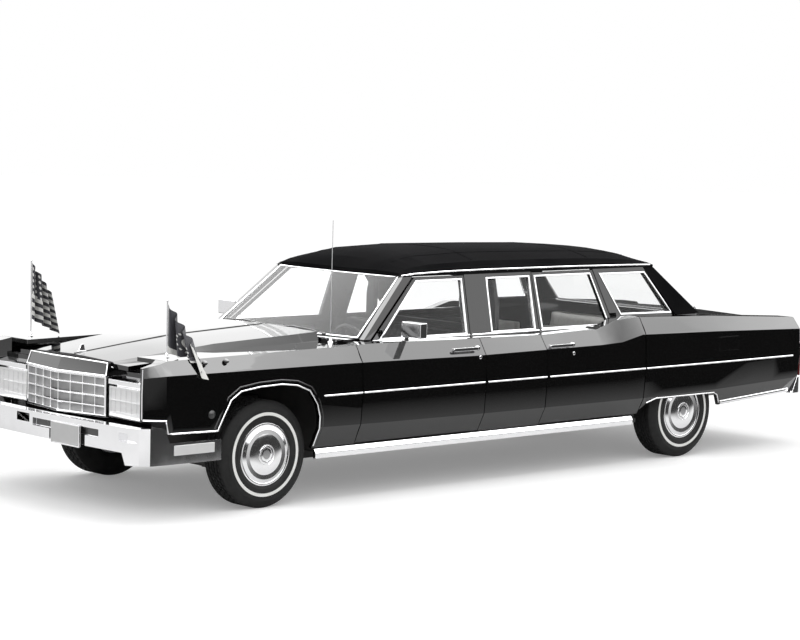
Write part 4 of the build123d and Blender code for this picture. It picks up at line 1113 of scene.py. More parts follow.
# Studio


@dataclass
class Studio:
    """Camera, floor, world and lamps."""

    eye: Point = (-12.006, -12.782, 2.640)
    yaw: float = 42.770
    pitch: float = 5.365
    roll: float = 1.408
    lens: float = 108.38
    rise: float = 0.0091
    floor_radius: float = 60.0
    floor_lift: float = 0.22
    side_reach: tuple[float, float] = (2.0, 3.0)
    front_reach: tuple[float, float] = (-5.0, -3.6)
    horizon: float = 0.04
    near_flat: float = 0.15
    near_band: tuple[float, float] = (-0.25, -0.55)
    ahead_band: tuple[float, float] = (-0.35, -0.60)
    world_level: float = 0.9
    sky: tuple[tuple[float, float], ...] = (
        (0.0, 0.05), (0.030, 0.05), (0.075, 1.85), (0.30, 1.95), (0.46, 4.0), (0.66, 5.4),
        (1.0, 5.4),
    )

    def camera(self) -> bpy.types.Object:
        """Camera at the photograph's place, aim and lens.

        Returns:
            The camera.
        """
        yaw, pitch, roll = (math.radians(turn) for turn in (self.yaw, self.pitch, self.roll))
        ahead = Vector(
            (math.sin(yaw) * math.cos(pitch), math.cos(yaw) * math.cos(pitch), -math.sin(pitch))
        )
        level = Vector((math.cos(yaw), -math.sin(yaw), 0))
        above = level.cross(ahead)
        right = level * math.cos(roll) + above * math.sin(roll)
        up = above * math.cos(roll) - level * math.sin(roll)
        data = bpy.data.cameras.new("camera")
        data.lens = self.lens
        data.sensor_width = 36.0
        data.shift_y = self.rise
        data.clip_end = 200.0
        camera = bpy.data.objects.new("camera", data)
        bpy.context.scene.collection.objects.link(camera)
        turn = Matrix((right, up, -ahead)).transposed().to_4x4()
        camera.matrix_world = Matrix.Translation(self.eye) @ turn
        bpy.context.scene.camera = camera
        return camera

    def floor(self) -> bpy.types.Object:
        """Pale floor that keeps the car's shadow and ends in darkness for reflections.

        Returns:
            The floor.
        """
        deselect()
        bpy.ops.mesh.primitive_circle_add(vertices=96, radius=self.floor_radius, fill_type="NGON")
        floor = name_piece("studio_floor")
        material = bpy.data.materials.new("studio_floor")
        material.use_nodes = True
        write = Nodes(material.node_tree)
        out = write.add("ShaderNodeOutputMaterial")
        pale = write.add("ShaderNodeBsdfDiffuse", in_Color=(0.9, 0.9, 0.9, 1))
        lift = write.add("ShaderNodeEmission", in_Color=(1, 1, 1, 1), in_Strength=self.floor_lift)
        seen = write.add("ShaderNodeAddShader")
        write.link(pale.outputs[0], seen.inputs[0])
        write.link(lift.outputs[0], seen.inputs[1])
        dark = write.add("ShaderNodeEmission", in_Color=(*[self.horizon] * 3, 1))
        place = write.add("ShaderNodeTexCoord")
        parts = write.add("ShaderNodeSeparateXYZ")
        write.link(place.outputs["Object"], parts.inputs[0])
        away = write.add("ShaderNodeMapRange", in_1=self.side_reach[0], in_2=self.side_reach[1])
        write.link(maths(write, "ABSOLUTE", parts.outputs["Y"]), away.inputs["Value"])
        behind = write.add("ShaderNodeMapRange", in_1=self.front_reach[0], in_2=self.front_reach[1])
        write.link(parts.outputs["X"], behind.inputs["Value"])
        far = maths(write, "MULTIPLY", away.outputs["Result"], behind.outputs["Result"])
        path = write.add("ShaderNodeLightPath")
        bounced = write.add("ShaderNodeMath", operation="SUBTRACT", use_clamp=True)
        write.link(path.outputs["Is Glossy Ray"], bounced.inputs[0])
        write.link(path.outputs["Is Transmission Ray"], bounced.inputs[1])
        only = write.add("ShaderNodeMath", operation="MULTIPLY")
        write.link(far, only.inputs[0])
        write.link(bounced.outputs[0], only.inputs[1])
        direct = write.add("ShaderNodeMath", operation="MAXIMUM")
        write.link(path.outputs["Is Camera Ray"], direct.inputs[0])
        write.link(path.outputs["Is Transmission Ray"], direct.inputs[1])
        camera = write.add("ShaderNodeMixShader")
        write.link(direct.outputs[0], camera.inputs[0])
        write.link(pale.outputs[0], camera.inputs[1])
        write.link(seen.outputs[0], camera.inputs[2])
        mix = write.add("ShaderNodeMixShader")
        write.link(only.outputs[0], mix.inputs[0])
        write.link(camera.outputs[0], mix.inputs[1])
        write.link(dark.outputs[0], mix.inputs[2])
        write.link(mix.outputs[0], out.inputs["Surface"])
        floor.data.materials.append(material)
        return floor

    def world(self) -> None:
        """White surround. Glossy rays alone meet a sky dark low down and above white overhead."""
        world = bpy.data.worlds.new("studio")
        bpy.context.scene.world = world
        world.use_nodes = True
        write = Nodes(world.node_tree)
        out = write.add("ShaderNodeOutputWorld")
        seen = write.add("ShaderNodeBackground", in_Color=(1, 1, 1, 1), in_Strength=1.0)
        light = write.add(
            "ShaderNodeBackground", in_Color=(1, 1, 1, 1), in_Strength=self.world_level
        )
        glossy = write.add("ShaderNodeBackground", in_Color=(1, 1, 1, 1))
        place = write.add("ShaderNodeTexCoord")
        parts = write.add("ShaderNodeSeparateXYZ")
        write.link(place.outputs["Generated"], parts.inputs[0])
        ramp = write.add("ShaderNodeFloatCurve")
        reach = self.sky[-1][1]
        curve = ramp.mapping.curves[0]
        curve.points[0].location = (self.sky[0][0], self.sky[0][1] / reach)
        curve.points[1].location = (1.0, 1.0)
        for position, value in self.sky[1:-1]:
            curve.points.new(position, value / reach)
        for point in curve.points:
            point.handle_type = "VECTOR"
        ramp.mapping.update()
        start, end = self.near_band
        near = write.add("ShaderNodeMapRange", in_1=start, in_2=end, in_3=0.0, in_4=self.near_flat)
        write.link(parts.outputs["Y"], near.inputs["Value"])
        write.link(
            maths(write, "SUBTRACT", parts.outputs["Z"], near.outputs["Result"]),
            ramp.inputs["Value"]
        )
        level = maths(write, "MULTIPLY", ramp.outputs["Value"], reach)
        start, end = self.ahead_band
        ahead = write.add("ShaderNodeMapRange", in_1=start, in_2=end, in_3=0.0, in_4=1.0)
        write.link(parts.outputs["X"], ahead.inputs["Value"])
        level = maths(write, "MAXIMUM", level, ahead.outputs["Result"])
        write.link(level, glossy.inputs["Strength"])
        path = write.add("ShaderNodeLightPath")
        mirror = write.add("ShaderNodeMixShader")
        write.link(path.outputs["Is Glossy Ray"], mirror.inputs[0])
        write.link(light.outputs[0], mirror.inputs[1])
        write.link(glossy.outputs[0], mirror.inputs[2])
        direct = write.add("ShaderNodeMath", operation="MAXIMUM")
        write.link(path.outputs["Is Camera Ray"], direct.inputs[0])
        write.link(path.outputs["Is Transmission Ray"], direct.inputs[1])
        final = write.add("ShaderNodeMixShader")
        write.link(direct.outputs[0], final.inputs[0])
        write.link(mirror.outputs[0], final.inputs[1])
        write.link(seen.outputs[0], final.inputs[2])
        write.link(final.outputs[0], out.inputs["Surface"])

    def lamps(self) -> None:
        """Large soft lamp overhead, and a smaller one on the near side ahead."""
        rows = (
            ("overhead", (0.0, -1.0, 6.5), (9.0, 5.0), 160.0),
            ("side_fill", (-7.0, -7.0, 4.5), (4.0, 3.0), 60.0)
        )
        for name, spot, size, power in rows:
            data = bpy.data.lights.new(name, "AREA")
            data.shape = "RECTANGLE"
            data.size = size[0]
            data.size_y = size[1]
            data.energy = power
            lamp = bpy.data.objects.new(name, data)
            bpy.context.scene.collection.objects.link(lamp)
            lamp.location = spot
            aim = Vector((0, 0, 0.6)) - Vector(spot)
            lamp.rotation_euler = aim.to_track_quat("-Z", "Y").to_euler()

    def build(self) -> None:
        """Makes the whole studio."""
        self.camera()
        self.floor()
        self.world()
        self.lamps()
        bpy.context.scene.view_settings.view_transform = "Standard"


# Sub-assemblies


@dataclass
class Materials:
    """All materials of the car, made once."""

    made: dict[str, bpy.types.Material] = field(default_factory=dict)

    def of(self, finish: Finish | Glazing) -> bpy.types.Material:
        """Material of a finish.

        Args:
            finish: The finish.

        Returns:
            Its material.
        """
        if finish.name not in self.made:
            self.made[finish.name] = finish.material()
        return self.made[finish.name]


STOCK = Materials()

FRONT_AXLE = -2.190
REAR_AXLE = 1.899
TRACK_HALF = 0.8165
WHEEL_Z = 0.352
Row = tuple[float, float]


GLASS_BELT_Y = 0.800
GLASS_BELT_Z = 1.020
GLASS_RISE = 0.425
GLASS_LEAN = 0.128


def glass_y(z: float) -> float:
    """Distance of the side glass plane from the middle of the car.

    Args:
        z: Height.

    Returns:
        The distance.
    """
    return GLASS_BELT_Y - (z - GLASS_BELT_Z) / GLASS_RISE * GLASS_LEAN


def moved_out(rows: Sequence[Row], distance: float) -> list[Row]:
    """Line of (x, z) moved to its left-hand side, as seen going along it.

    Args:
        rows: Points of the line.
        distance: How far to move it.

    Returns:
        The moved points.
    """
    moved = []
    for index, row in enumerate(rows):
        before = rows[max(index - 1, 0)]
        after = rows[min(index + 1, len(rows) - 1)]
        run = Vector((after[0] - before[0], after[1] - before[1])).normalized()
        moved.append((row[0] - run.y * distance, row[1] + run.x * distance))
    return moved


def on_side(
    node: str, rows: Sequence[Row], side: Side, proud: float = 0.0, step: float = 0.15
) -> list[Vector]:
    """Points on a node's side surface along a line of (x, z).

    Args:
        node: CAD node whose surface is followed.
        rows: Corners of the line.
        side: Side of the car.
        proud: How far outside the surface.
        step: Longest run between two points.

    Returns:
        The points that the surface has.
    """
    places = [rows[0]]
    for before, after in zip(rows, rows[1:]):
        length = math.dist(before, after)
        parts = max(1, math.ceil(length / step))
        for part in range(1, parts + 1):
            share = part / parts
            places.append(
                (
                    before[0] + (after[0] - before[0]) * share,
                    before[1] + (after[1] - before[1]) * share
                )
            )
    points = []
    for x, z in places:
        y = FRAME.side_y(node, x, z, side)
        if y is not None:
            points.append(Vector((x, y + side.value * proud, z)))
    return points


def bright(piece: bpy.types.Object, body: str = "body") -> bpy.types.Object:
    """Gives a piece its place on a body and the bright finish.

    Args:
        piece: The piece.
        body: Body that it rides on.

    Returns:
        The piece.
    """
    return place_piece(piece, body, STOCK.of(CHROME))


@dataclass
class BodyPanels:
    """Painted outer panels, each a finished copy of its node."""

    rounding: float = 0.004
    crease: float = 14.0
    names: tuple[str, ...] = (
        "front_fenders", "centre_panels", "rear_quarters", "hood", "trunk_lid", "nose_panel",
        "tail_panel",
        "rear_deck", "cowl", "front_door_left", "front_door_right", "rear_door_left",
        "rear_door_right",
    )

    def build(self) -> None:
        """Makes the panels."""
        for node in self.names:
            refined(node, f"{node}_painted", STOCK.of(PAINT), self.rounding, self.crease)


@dataclass
class RoofCover:
    """Padded roof covering with its seams, the painted rail under it and the bright drip rails."""

    rounding: float = 0.012
    rail_radius: float = 0.006
    seam_radius: float = 0.004
    rail_rows: tuple[tuple[float, float, float], ...] = (
        (-0.800, 0.668, 1.443), (-0.700, 0.682, 1.455), (-0.40, 0.685, 1.464), (0.0, 0.686, 1.467),
        (0.9, 0.686, 1.464), (1.50, 0.685, 1.457), (1.745, 0.684, 1.452),
    )
    seam_y: float = 0.44
    seam_ends: Row = (-0.78, 1.70)
    piping_x: tuple[float, ...] = (-0.060, 1.140)

    def rail(self, side: Side) -> None:
        """Bright drip rail over the doors on one side.

        Args:
            side: Side of the car.
        """
        path = [(x, side.value * y, z) for x, y, z in self.rail_rows]
        bright(tube(f"drip_rail_{side.word}", path, self.rail_radius))

    def is_painted(self, centre: Vector, normal: Vector) -> bool:
        """Whether a face belongs to the painted screen pillars or the rail under the covering.

        Args:
            centre: Middle of the face.
            normal: Its normal; not used.

        Returns:
            True for a painted face.
        """
        pillar = centre.x < -0.79 and centre.z < 1.428
        rail = centre.x < 1.76 and centre.z < 1.450 and abs(centre.y) > 0.6 and centre.z > 1.395
        return pillar or rail

    def seam(self, name: str, places: Sequence[Row]) -> None:
        """Raised sewn seam over the covering.

        Args:
            name: Name of the piece.
            places: Places of (x, y) on the roof.
        """
        path = []
        for x, y in places:
            z = FRAME.top_z("roof", x, y)
            if z is not None:
                path.append((x, y, z - 0.001))
        seam = tube(name, path, self.seam_radius)
        place_piece(seam, "body", STOCK.of(VINYL))

    def build(self) -> None:
        """Makes the covering, its seams and its rails."""
        covering = refined("roof", "roof_covering", STOCK.of(VINYL), self.rounding, 12.0)
        second_finish(covering, STOCK.of(PAINT), self.is_painted)
        low, high = self.seam_ends
        for side in Side:
            self.rail(side)
            run = [(low + (high - low) * step / 24, side.value * self.seam_y) for step in range(25)]
            self.seam(f"roof_seam_{side.word}", run)
        for index, x in enumerate(self.piping_x):
            across = [(x, -0.660 + 1.320 * step / 22) for step in range(23)]
            self.seam(f"roof_cross_seam_{index}", across)


@dataclass
class Windows:
    """Glass, and the bright mouldings round it."""

    width: float = 0.008
    proud: float = 0.004
    depth: float = 0.012
    front_door: tuple[Row, ...] = (
        (-1.105, 1.036), (-0.285, 1.036), (-0.245, 1.404), (-0.670, 1.404)
    )
    centre: tuple[Row, ...] = ((-0.032, 1.036), (0.401, 1.036), (0.433, 1.404), (0.006, 1.404))
    rear_door: tuple[Row, ...] = ((0.479, 1.036), (1.184, 1.036), (1.077, 1.404), (0.494, 1.404))
    quarter: tuple[Row, ...] = ((1.339, 1.104), (1.909, 1.096), (1.674, 1.396), (1.184, 1.398))
    screen_base: Row = (-1.254, -1.328)
    screen_top: Row = (-0.792, -0.828)
    screen_half: Row = (0.738, 0.626)
    screen_z: Row = (1.046, 1.432)
    screen_radius: float = 0.007

    def moulding(self, name: str, corners: Sequence[Row], side: Side, body: str) -> None:
        """Bright frame round a side window.

        Args:
            name: Name of the piece.
            corners: Window corners as (x, z).
            side: Side of the car.
            body: Body that it rides on.
        """
        sign = side.value
        outline = []
        middle_x = sum(x for x, _ in corners) / 4
        middle_z = sum(z for _, z in corners) / 4
        for x, z in corners:
            grown_x = x + math.copysign(self.width, x - middle_x)
            grown_z = z + math.copysign(self.width, z - middle_z)
            outline.append((grown_x, sign * (glass_y(grown_z) + self.proud), grown_z))
        lift = Vector((0, -sign * self.depth, 0))
        frame = outline_frame(f"{name}_{side.word}", outline, self.width * 1.6, lift)
        bright(frame, body)

    def bow(self, level: int) -> list[Vector]:
        """Line across the windscreen's face at its base or top.

        Args:
            level: 0 at the base, 1 at the top.

        Returns:
            Points from left to right.
        """
        edge_x, middle_x = (self.screen_base, self.screen_top)[level]
        half = self.screen_half[level]
        z = self.screen_z[level]
        points = []
        for step in range(17):
            share = step / 8 - 1
            points.append(Vector((middle_x + (edge_x - middle_x) * share ** 2, share * half, z)))
        return points

    def screen_frame(self) -> None:
        """Bright moulding round the windscreen."""
        low, high = self.bow(0), self.bow(1)
        path = low + high[::-1]
        bright(tube("windscreen_moulding", path, self.screen_radius, closed=True))

    def rear_frame(self) -> None:
        """Bright moulding round the rear window."""
        corners = [
            (2.197, -0.686, 1.080), (2.197, 0.686, 1.080), (1.792, 0.588, 1.426),
            (1.792, -0.588, 1.426)
        ]
        bright(tube("rear_window_moulding_back", corners, self.screen_radius, closed=True))

    def belt(self, side: Side) -> None:
        """Bright mouldings along the foot of the windows, one on each body that they cross.

        Args:
            side: Side of the car.
        """
        rows = (
            ("front_door", f"front_door_{side.word}", -1.175, -0.262),
            ("centre", "body", -0.234, 0.436),
            ("rear_door", f"rear_door_{side.word}", 0.462, 1.222),
        )
        for name, body, low, high in rows:
            y = side.value * (glass_y(1.021) + 0.003)
            path = [(low, y, 1.021), ((low + high) / 2, y, 1.021), (high, y, 1.021)]
            bright(strip(f"belt_moulding_{name}_{side.word}", path, 0.014, 0.017), body)

    def build(self) -> None:
        """Dresses the glass and makes the mouldings."""
        for node in (
            "body_glass", "front_door_left_glass", "front_door_right_glass", "rear_door_left_glass",
            "rear_door_right_glass"
        ):
            dress(node, STOCK.of(GLASS))
        self.screen_frame()
        self.rear_frame()
        for side in Side:
            self.moulding("front_window_moulding", self.front_door, side, f"front_door_{side.word}")
            self.moulding("rear_window_moulding", self.rear_door, side, f"rear_door_{side.word}")
            self.moulding("centre_window_moulding", self.centre, side, "body")
            self.moulding("quarter_window_moulding", self.quarter, side, "body")
            self.belt(side)


@dataclass
class SideTrim:
    """Bright strips, wheel opening lips and lower edges along both sides."""

    strip_z: float = 0.714
    strip_height: float = 0.013
    strip_depth: float = 0.012
    lip_radius: float = 0.0055
    blade_edge: tuple[Point, ...] = (
        (-3.193, 0.941, 0.650), (-3.194, 0.941, 0.800), (-3.190, 0.941, 0.960)
    )
    spans: tuple[tuple[str, str, float, float], ...] = (
        ("front_fenders", "body", -1.775, -1.440),
        ("front_door", "front_door", -1.426, -0.302),
        ("centre_panels", "body", -0.272, 0.316),
        ("rear_door", "rear_door", 0.346, 1.364),
        ("rear_quarters", "body", 1.380, 3.140),
    )
    front_arch: tuple[Row, ...] = (
        (-2.633, 0.545), (-2.600, 0.616), (-2.540, 0.732), (-2.460, 0.781), (-2.310, 0.800),
        (-2.130, 0.806),
        (-2.002, 0.792), (-1.899, 0.752), (-1.832, 0.662), (-1.804, 0.580), (-1.800, 0.501),
        (-1.806, 0.380),
    )
    rear_arch: tuple[Row, ...] = (
        (1.362, 0.386), (1.430, 0.444), (1.520, 0.474), (1.700, 0.474), (1.900, 0.474),
        (2.189, 0.474),
        (2.239, 0.455), (2.296, 0.390),
    )
    fender_edge: tuple[Row, ...] = (
        (-2.636, 0.547), (-2.990, 0.554), (-3.026, 0.558), (-3.048, 0.639), (-3.188, 0.646)
    )
    rear_edge: tuple[Row, ...] = ((2.312, 0.392), (3.150, 0.437))

    def run(self, name: str, node: str, body: str, low: float, high: float, side: Side) -> None:
        """One stretch of the side strip.

        Args:
            name: Name of the piece.
            node: CAD node whose surface it lies on.
            body: Body that it rides on.
            low: Start along the car.
            high: End along the car.
            side: Side of the car.
        """
        path = on_side(node, ((low, self.strip_z), (high, self.strip_z)), side, step=0.2)
        bright(strip(name, path, self.strip_depth, self.strip_height), body)

    def lips(self, side: Side) -> None:
        """Bright lips of the wheel openings, with the flare line over the front one.

        Args:
            side: Side of the car.
        """
        for name, node, rows in (
            ("front", "front_fenders", self.front_arch), ("rear", "rear_quarters", self.rear_arch)
        ):
            path = on_side(node, moved_out(rows, 0.006), side)
            bright(tube(f"{name}_opening_lip_{side.word}", path, self.lip_radius))
        flare = on_side("front_fenders", moved_out(self.front_arch, 0.034), side, proud=-0.002)
        piece = tube(f"front_opening_flare_{side.word}", flare, 0.005)
        place_piece(piece, "body", STOCK.of(PAINT))

    def edges(self, side: Side) -> None:
        """Bright lower edges ahead of the front wheel and behind the rear one.

        Args:
            side: Side of the car.
        """
        path = on_side("front_fenders", self.fender_edge, side)
        bright(tube(f"fender_lower_edge_{side.word}", path, 0.006))
        blade = [(x, side.value * y, z) for x, y, z in self.blade_edge]
        bright(tube(f"fender_blade_edge_{side.word}", blade, 0.0055))
        path = on_side("rear_quarters", self.rear_edge, side, proud=0.002)
        bright(strip(f"rear_lower_edge_{side.word}", path, 0.016, 0.034))

    def build(self) -> None:
        """Makes the strips, and finishes the mouldings under the doors."""
        for side in Side:
            for node, body, low, high in self.spans:
                whole = node if node.endswith("s") else f"{node}_{side.word}"
                rides = body if body == "body" else f"{body}_{side.word}"
                self.run(f"side_strip_{node}_{side.word}", whole, rides, low, high, side)
            self.lips(side)
            self.edges(side)
        refined("rocker_mouldings", "rocker_brightwork", STOCK.of(CHROME), 0.004)


@dataclass
class DoorFurniture:
    """Door handles with their buttons and locks, the fuel door and the small fender knobs."""

    length: float = 0.215
    height: float = 0.024
    thickness: float = 0.014
    stand_off: float = 0.022
    doors: tuple[tuple[str, float, float], ...] = (
        ("front_door", -0.480, 0.952), ("rear_door", 0.460, 0.930)
    )
    knobs: tuple[Row, ...] = ((-2.724, -0.952), (-2.553, -0.952))

    def handle(self, door: str, x: float, z: float, side: Side) -> None:
        """Pull handle of a door with its push button and lock.

        Args:
            door: Kind of door.
            x: Middle of the handle along the car.
            z: Its height.
            side: Side of the car.
        """
        node = f"{door}_{side.word}"
        sign = side.value
        face = FRAME.side_y(node, x, z, side)
        out = face + sign * self.stand_off
        half = self.length / 2
        bar = slab(
            f"handle_{node}",
            (x - half, min(out, out + sign * self.thickness), z - self.height / 2),
            (x + half, max(out, out + sign * self.thickness), z + self.height / 2),
        )
        edit_faces(bar, lambda centre, normal: abs(normal.x) > 0.9)
        bpy.ops.mesh.extrude_region_shrink_fatten(TRANSFORM_OT_shrink_fatten={"value": 0.012})
        bpy.ops.transform.resize(value=(1, 0.7, 0.6))
        bpy.ops.object.mode_set(mode="OBJECT")
        feet = []
        for index, place in enumerate((x - half * 0.86, x + half * 0.86)):
            foot = slab(
                f"handle_foot_{node}_{index}",
                (place - 0.012, min(face - sign * 0.012, out + sign * 0.004), z - 0.009),
                (place + 0.012, max(face - sign * 0.012, out + sign * 0.004), z + 0.009),
            )
            feet.append(foot)
        whole = joined(f"handle_{node}", [bar, *feet])
        round_edges(whole, 0.004)
        bright(whole, node)
        self.knob(f"handle_button_{node}", (x + half + 0.030, z), node, side, 0.013, 0.016)
        self.knob(f"lock_{node}", (x + half + 0.030, z - 0.062), node, side, 0.010, 0.005)

    def knob(
        self, name: str, place: Row, node: str, side: Side, radius: float, height: float
    ) -> None:
        """Round button on the side surface.

        Args:
            name: Name of the piece.
            place: Its (x, z).
            node: Node that it sits on, which is also its body.
            side: Side of the car.
            radius: Radius.
            height: How far it stands out.
        """
        x, z = place
        face = FRAME.side_y(node, x, z, side)
        profile = [
            (radius * 1.25, -0.008), (radius * 1.25, 0.002), (radius, 0.003),
            (radius, height * 0.8),
            (radius * 0.8, height), (0.0, height),
        ]
        button = lathe(name, (x, face, z), Vector((0, side.value, 0)), profile, steps=24)
        smooth(button, 35)
        bright(button, node)

    def fuel_door(self) -> None:
        """Fuel door in the left rear quarter."""
        rows = ((2.215, 0.800), (2.455, 0.800), (2.455, 0.905), (2.215, 0.905))
        outline = [(x, FRAME.side_y("rear_quarters", x, z, Side.LEFT) - 0.0015, z) for x, z in rows]
        panel = outline_panel("fuel_door", outline, (0, 0.004, 0), 0.0012)
        place_piece(panel, "body", STOCK.of(PAINT))

    def fender_knobs(self) -> None:
        """Small dark knobs on the left front fender's shoulder."""
        for index, (x, y) in enumerate(self.knobs):
            z = FRAME.top_z("front_fenders", x, y)
            profile = [
                (0.010, -0.006), (0.010, 0.004), (0.017, 0.008), (0.018, 0.016), (0.014, 0.022),
                (0.0, 0.024)
            ]
            knob = lathe(
                f"fender_knob_{index}", (x, y, z), Vector((0, -0.5, 0.866)), profile, steps=24
            )
            smooth(knob, 35)
            place_piece(knob, "body", STOCK.of(MOULDED))

    def side_lamp(self) -> None:
        """Small round lamp low on the front of each front fender."""
        for side in Side:
            x, z = -2.697, 0.656
            y = FRAME.side_y("front_fenders", x, z, side)
            profile = [
                (0.026, -0.006), (0.026, 0.004), (0.021, 0.007), (0.020, 0.004), (0.012, 0.009),
                (0.0, 0.011)
            ]
            lamp = lathe(
                f"round_lamp_{side.word}", (x, y, z), Vector((0, side.value, 0)), profile, steps=32
            )
            smooth(lamp, 35)
            place_piece(lamp, "body", STOCK.of(MOULDED))

    def build(self) -> None:
        """Makes the door furniture."""
        for side in Side:
            for door, x, z in self.doors:
                self.handle(door, x, z, side)
        self.fuel_door()
        self.fender_knobs()
        self.side_lamp()


@dataclass
class FrontEnd:
    """Grille, header trim, headlamp covers, bumper, plate, ornament and wipers."""

    header_base: tuple[Point, ...] = (
        (-3.107, -0.441, 0.867), (-3.177, 0.0, 0.867), (-3.107, 0.441, 0.867)
    )
    header_top: tuple[Point, ...] = (
        (-3.085, -0.427, 0.946), (-3.143, 0.0, 0.955), (-3.085, 0.427, 0.946)
    )
    recess_x: float = -3.2535
    recesses: tuple[tuple[str, float, float, float, float], ...] = (
        ("upper", -0.588, 0.108, 0.508, 0.554),
        ("lower", -0.450, -0.082, 0.439, 0.506),
    )
    slot_x: float = -3.242
    slots: tuple[
        tuple[str, float, float, float, float], ...
    ] = (("far", 0.150, 0.300, 0.520, 0.575),)
    plate_low: Row = (-0.414, 0.420)
    plate_high: Row = (-0.101, 0.560)
    hood_run: Row = (-3.040, -1.480)
    ornament_x: float = -2.985

    def backing(self) -> None:
        """Grey plate behind the grille bars, bent at the middle as the grille is."""
        halves = []
        for side in Side:
            sign = side.value
            outline = [
                (-3.143, 0, 0.606), (-3.074, sign * 0.432, 0.606), (-3.074, sign * 0.432, 0.860),
                (-3.143, 0, 0.860)
            ]
            halves.append(
                outline_panel(f"grille_backing_{side.word}", outline, (0.003, 0, 0), 0.001)
            )
        plate = joined("grille_backing", halves)
        place_piece(plate, "body", STOCK.of(GRILLE_GREY))

    def header_lines(self) -> None:
        """Bright lines along the foot, top and ends of the panel over the grille."""
        bright(tube("header_foot_moulding", self.header_base, 0.006))
        bright(tube("header_top_moulding", self.header_top, 0.0045))
        for side in Side:
            end = 0 if side is Side.LEFT else 2
            bright(
                tube(
                    f"header_end_moulding_{side.word}",
                    (self.header_base[end], self.header_top[end]), 0.0045
                )
            )

    def hood_line(self) -> None:
        """Raised line down the middle of the hood, and the plain ornament ahead of it."""
        low, high = self.hood_run
        path = []
        for step in range(19):
            x = low + (high - low) * step / 18
            z = FRAME.top_z("hood", x, 0.0)
            if z is not None:
                path.append((x, 0.0, z + 0.0005))
        line = tube("hood_centre_line", path, 0.005)
        place_piece(line, "hood", STOCK.of(PAINT))
        z = FRAME.top_z("hood", self.ornament_x, 0.0)
        foot = slab(
            "hood_ornament", (self.ornament_x - 0.030, -0.012, z - 0.004),
            (self.ornament_x + 0.030, 0.012, z + 0.008)
        )
        edit_faces(foot, lambda centre, normal: normal.z > 0.9)
        bpy.ops.mesh.inset(thickness=0.006)
        bpy.ops.mesh.extrude_region_move(TRANSFORM_OT_translate={"value": (0.006, 0, 0.042)})
        bpy.ops.transform.resize(value=(0.45, 0.6, 1))
        bpy.ops.object.mode_set(mode="OBJECT")
        round_edges(foot, 0.002)
        bright(foot, "hood")

    def recess_liners(self) -> None:
        """Dark plates in the bumper's openings: painted shade for the shadow inside these recesses.
        """
        for name, left, right, low, high in self.recesses:
            x = self.recess_x
            outline = [(x, left, low), (x, right, low), (x, right, high), (x, left, high)]
            # Dark moulded plate that paints the shade of the recess.
            liner = outline_panel(f"bumper_liner_{name}", outline, (0.002, 0, 0), 0.0008)
            place_piece(liner, "body", STOCK.of(MOULDED))

    def slot_liners(self) -> None:
        """Satin plates in the bumper's small slots."""
        for name, left, right, low, high in self.slots:
            x = self.slot_x
            outline = [(x, left, low), (x, right, low), (x, right, high), (x, left, high)]
            liner = outline_panel(f"bumper_slot_{name}", outline, (0.002, 0, 0), 0.0008)
            place_piece(liner, "body", STOCK.of(SATIN))

    def plate_frame(self) -> None:
        """Thin bright frame round the blank number plate."""
        left, low = self.plate_low
        right, high = self.plate_high
        x = -3.2890
        outline = [(x, left, low), (x, right, low), (x, right, high), (x, left, high)]
        bright(outline_frame("plate_frame", outline, 0.008, (0.006, 0, 0), 0.001))

    def wiper(self, name: str, pivot: Point, tip: Point) -> None:
        """Wiper parked along the foot of the windscreen: arm, blade and pivot.

        Args:
            name: Name of the piece.
            pivot: Where the arm turns.
            tip: Outer end of the blade.
        """
        start, end = Vector(pivot), Vector(tip)
        middle = start.lerp(end, 0.55) + Vector((0, 0, 0.016))
        arm = tube(
            f"{name}_arm", [start, start.lerp(middle, 0.5) + Vector((0, 0, 0.006)), middle], 0.005
        )
        blade = tube(f"{name}_blade", [start.lerp(end, 0.12), middle, end], 0.006)
        boss = lathe(
            f"{name}_pivot", start - Vector((0, 0, 0.012)), Vector((0, 0, 1)),
            [(0.016, 0.0), (0.016, 0.012), (0.010, 0.020), (0.0, 0.022)], steps=20,
        )
        whole = joined(name, [arm, blade, boss])
        place_piece(whole, "body", STOCK.of(MOULDED))

    def cowl_louvres(self) -> None:
        """Dark air inlet with fine louvres along the cowl."""
        bars = []
        first = outline_panel(
            "louvre",
            [
                (-1.440, -0.300, 1.0), (-1.400, -0.300, 1.0), (-1.400, -0.294, 1.0),
                (-1.440, -0.294, 1.0)
            ],
            (0, 0, 0.004), 0.001
        )
        for side in Side:
            for step in range(24):
                y = side.value * (0.110 + 0.020 * step)
                x = -1.420
                z = FRAME.top_z("cowl", x, y)
                if z is None:
                    continue
                activate(first)
                bpy.ops.object.duplicate(linked=False)
                bar = name_piece("louvre_copy")
                bar.location = (0, y + 0.297, z - 1.001)
                apply_place(bar)
                bars.append(bar)
        bpy.data.objects.remove(first)
        if bars:
            place_piece(joined("cowl_louvres", bars), "body", STOCK.of(MOULDED))

    def build(self) -> None:
        """Makes the front end."""
        refined("grille", "grille_brightwork", STOCK.of(CHROME), 0.0015)
        covers = refined(
            "headlamp_covers", "headlamp_cover_brightwork", STOCK.of(CHROME), 0.0015, flatten=False
        )
        second_finish(
            covers, STOCK.of(SATIN), lambda centre,
            normal: normal.x < -0.5 and 0.640 < centre.z < 0.800
        )
        refined("front_bumper", "front_bumper_brightwork", STOCK.of(CHROME), 0.006)
        refined("number_plate", "blank_number_plate", STOCK.of(PLATE), 0.001)
        self.backing()
        self.header_lines()
        self.hood_line()
        self.recess_liners()
        self.slot_liners()
        self.plate_frame()
        self.wiper("wiper_left", (-1.365, -0.520, 1.062), (-1.375, 0.020, 1.072))
        self.wiper("wiper_right", (-1.375, 0.060, 1.064), (-1.345, 0.590, 1.070))
        self.cowl_louvres()


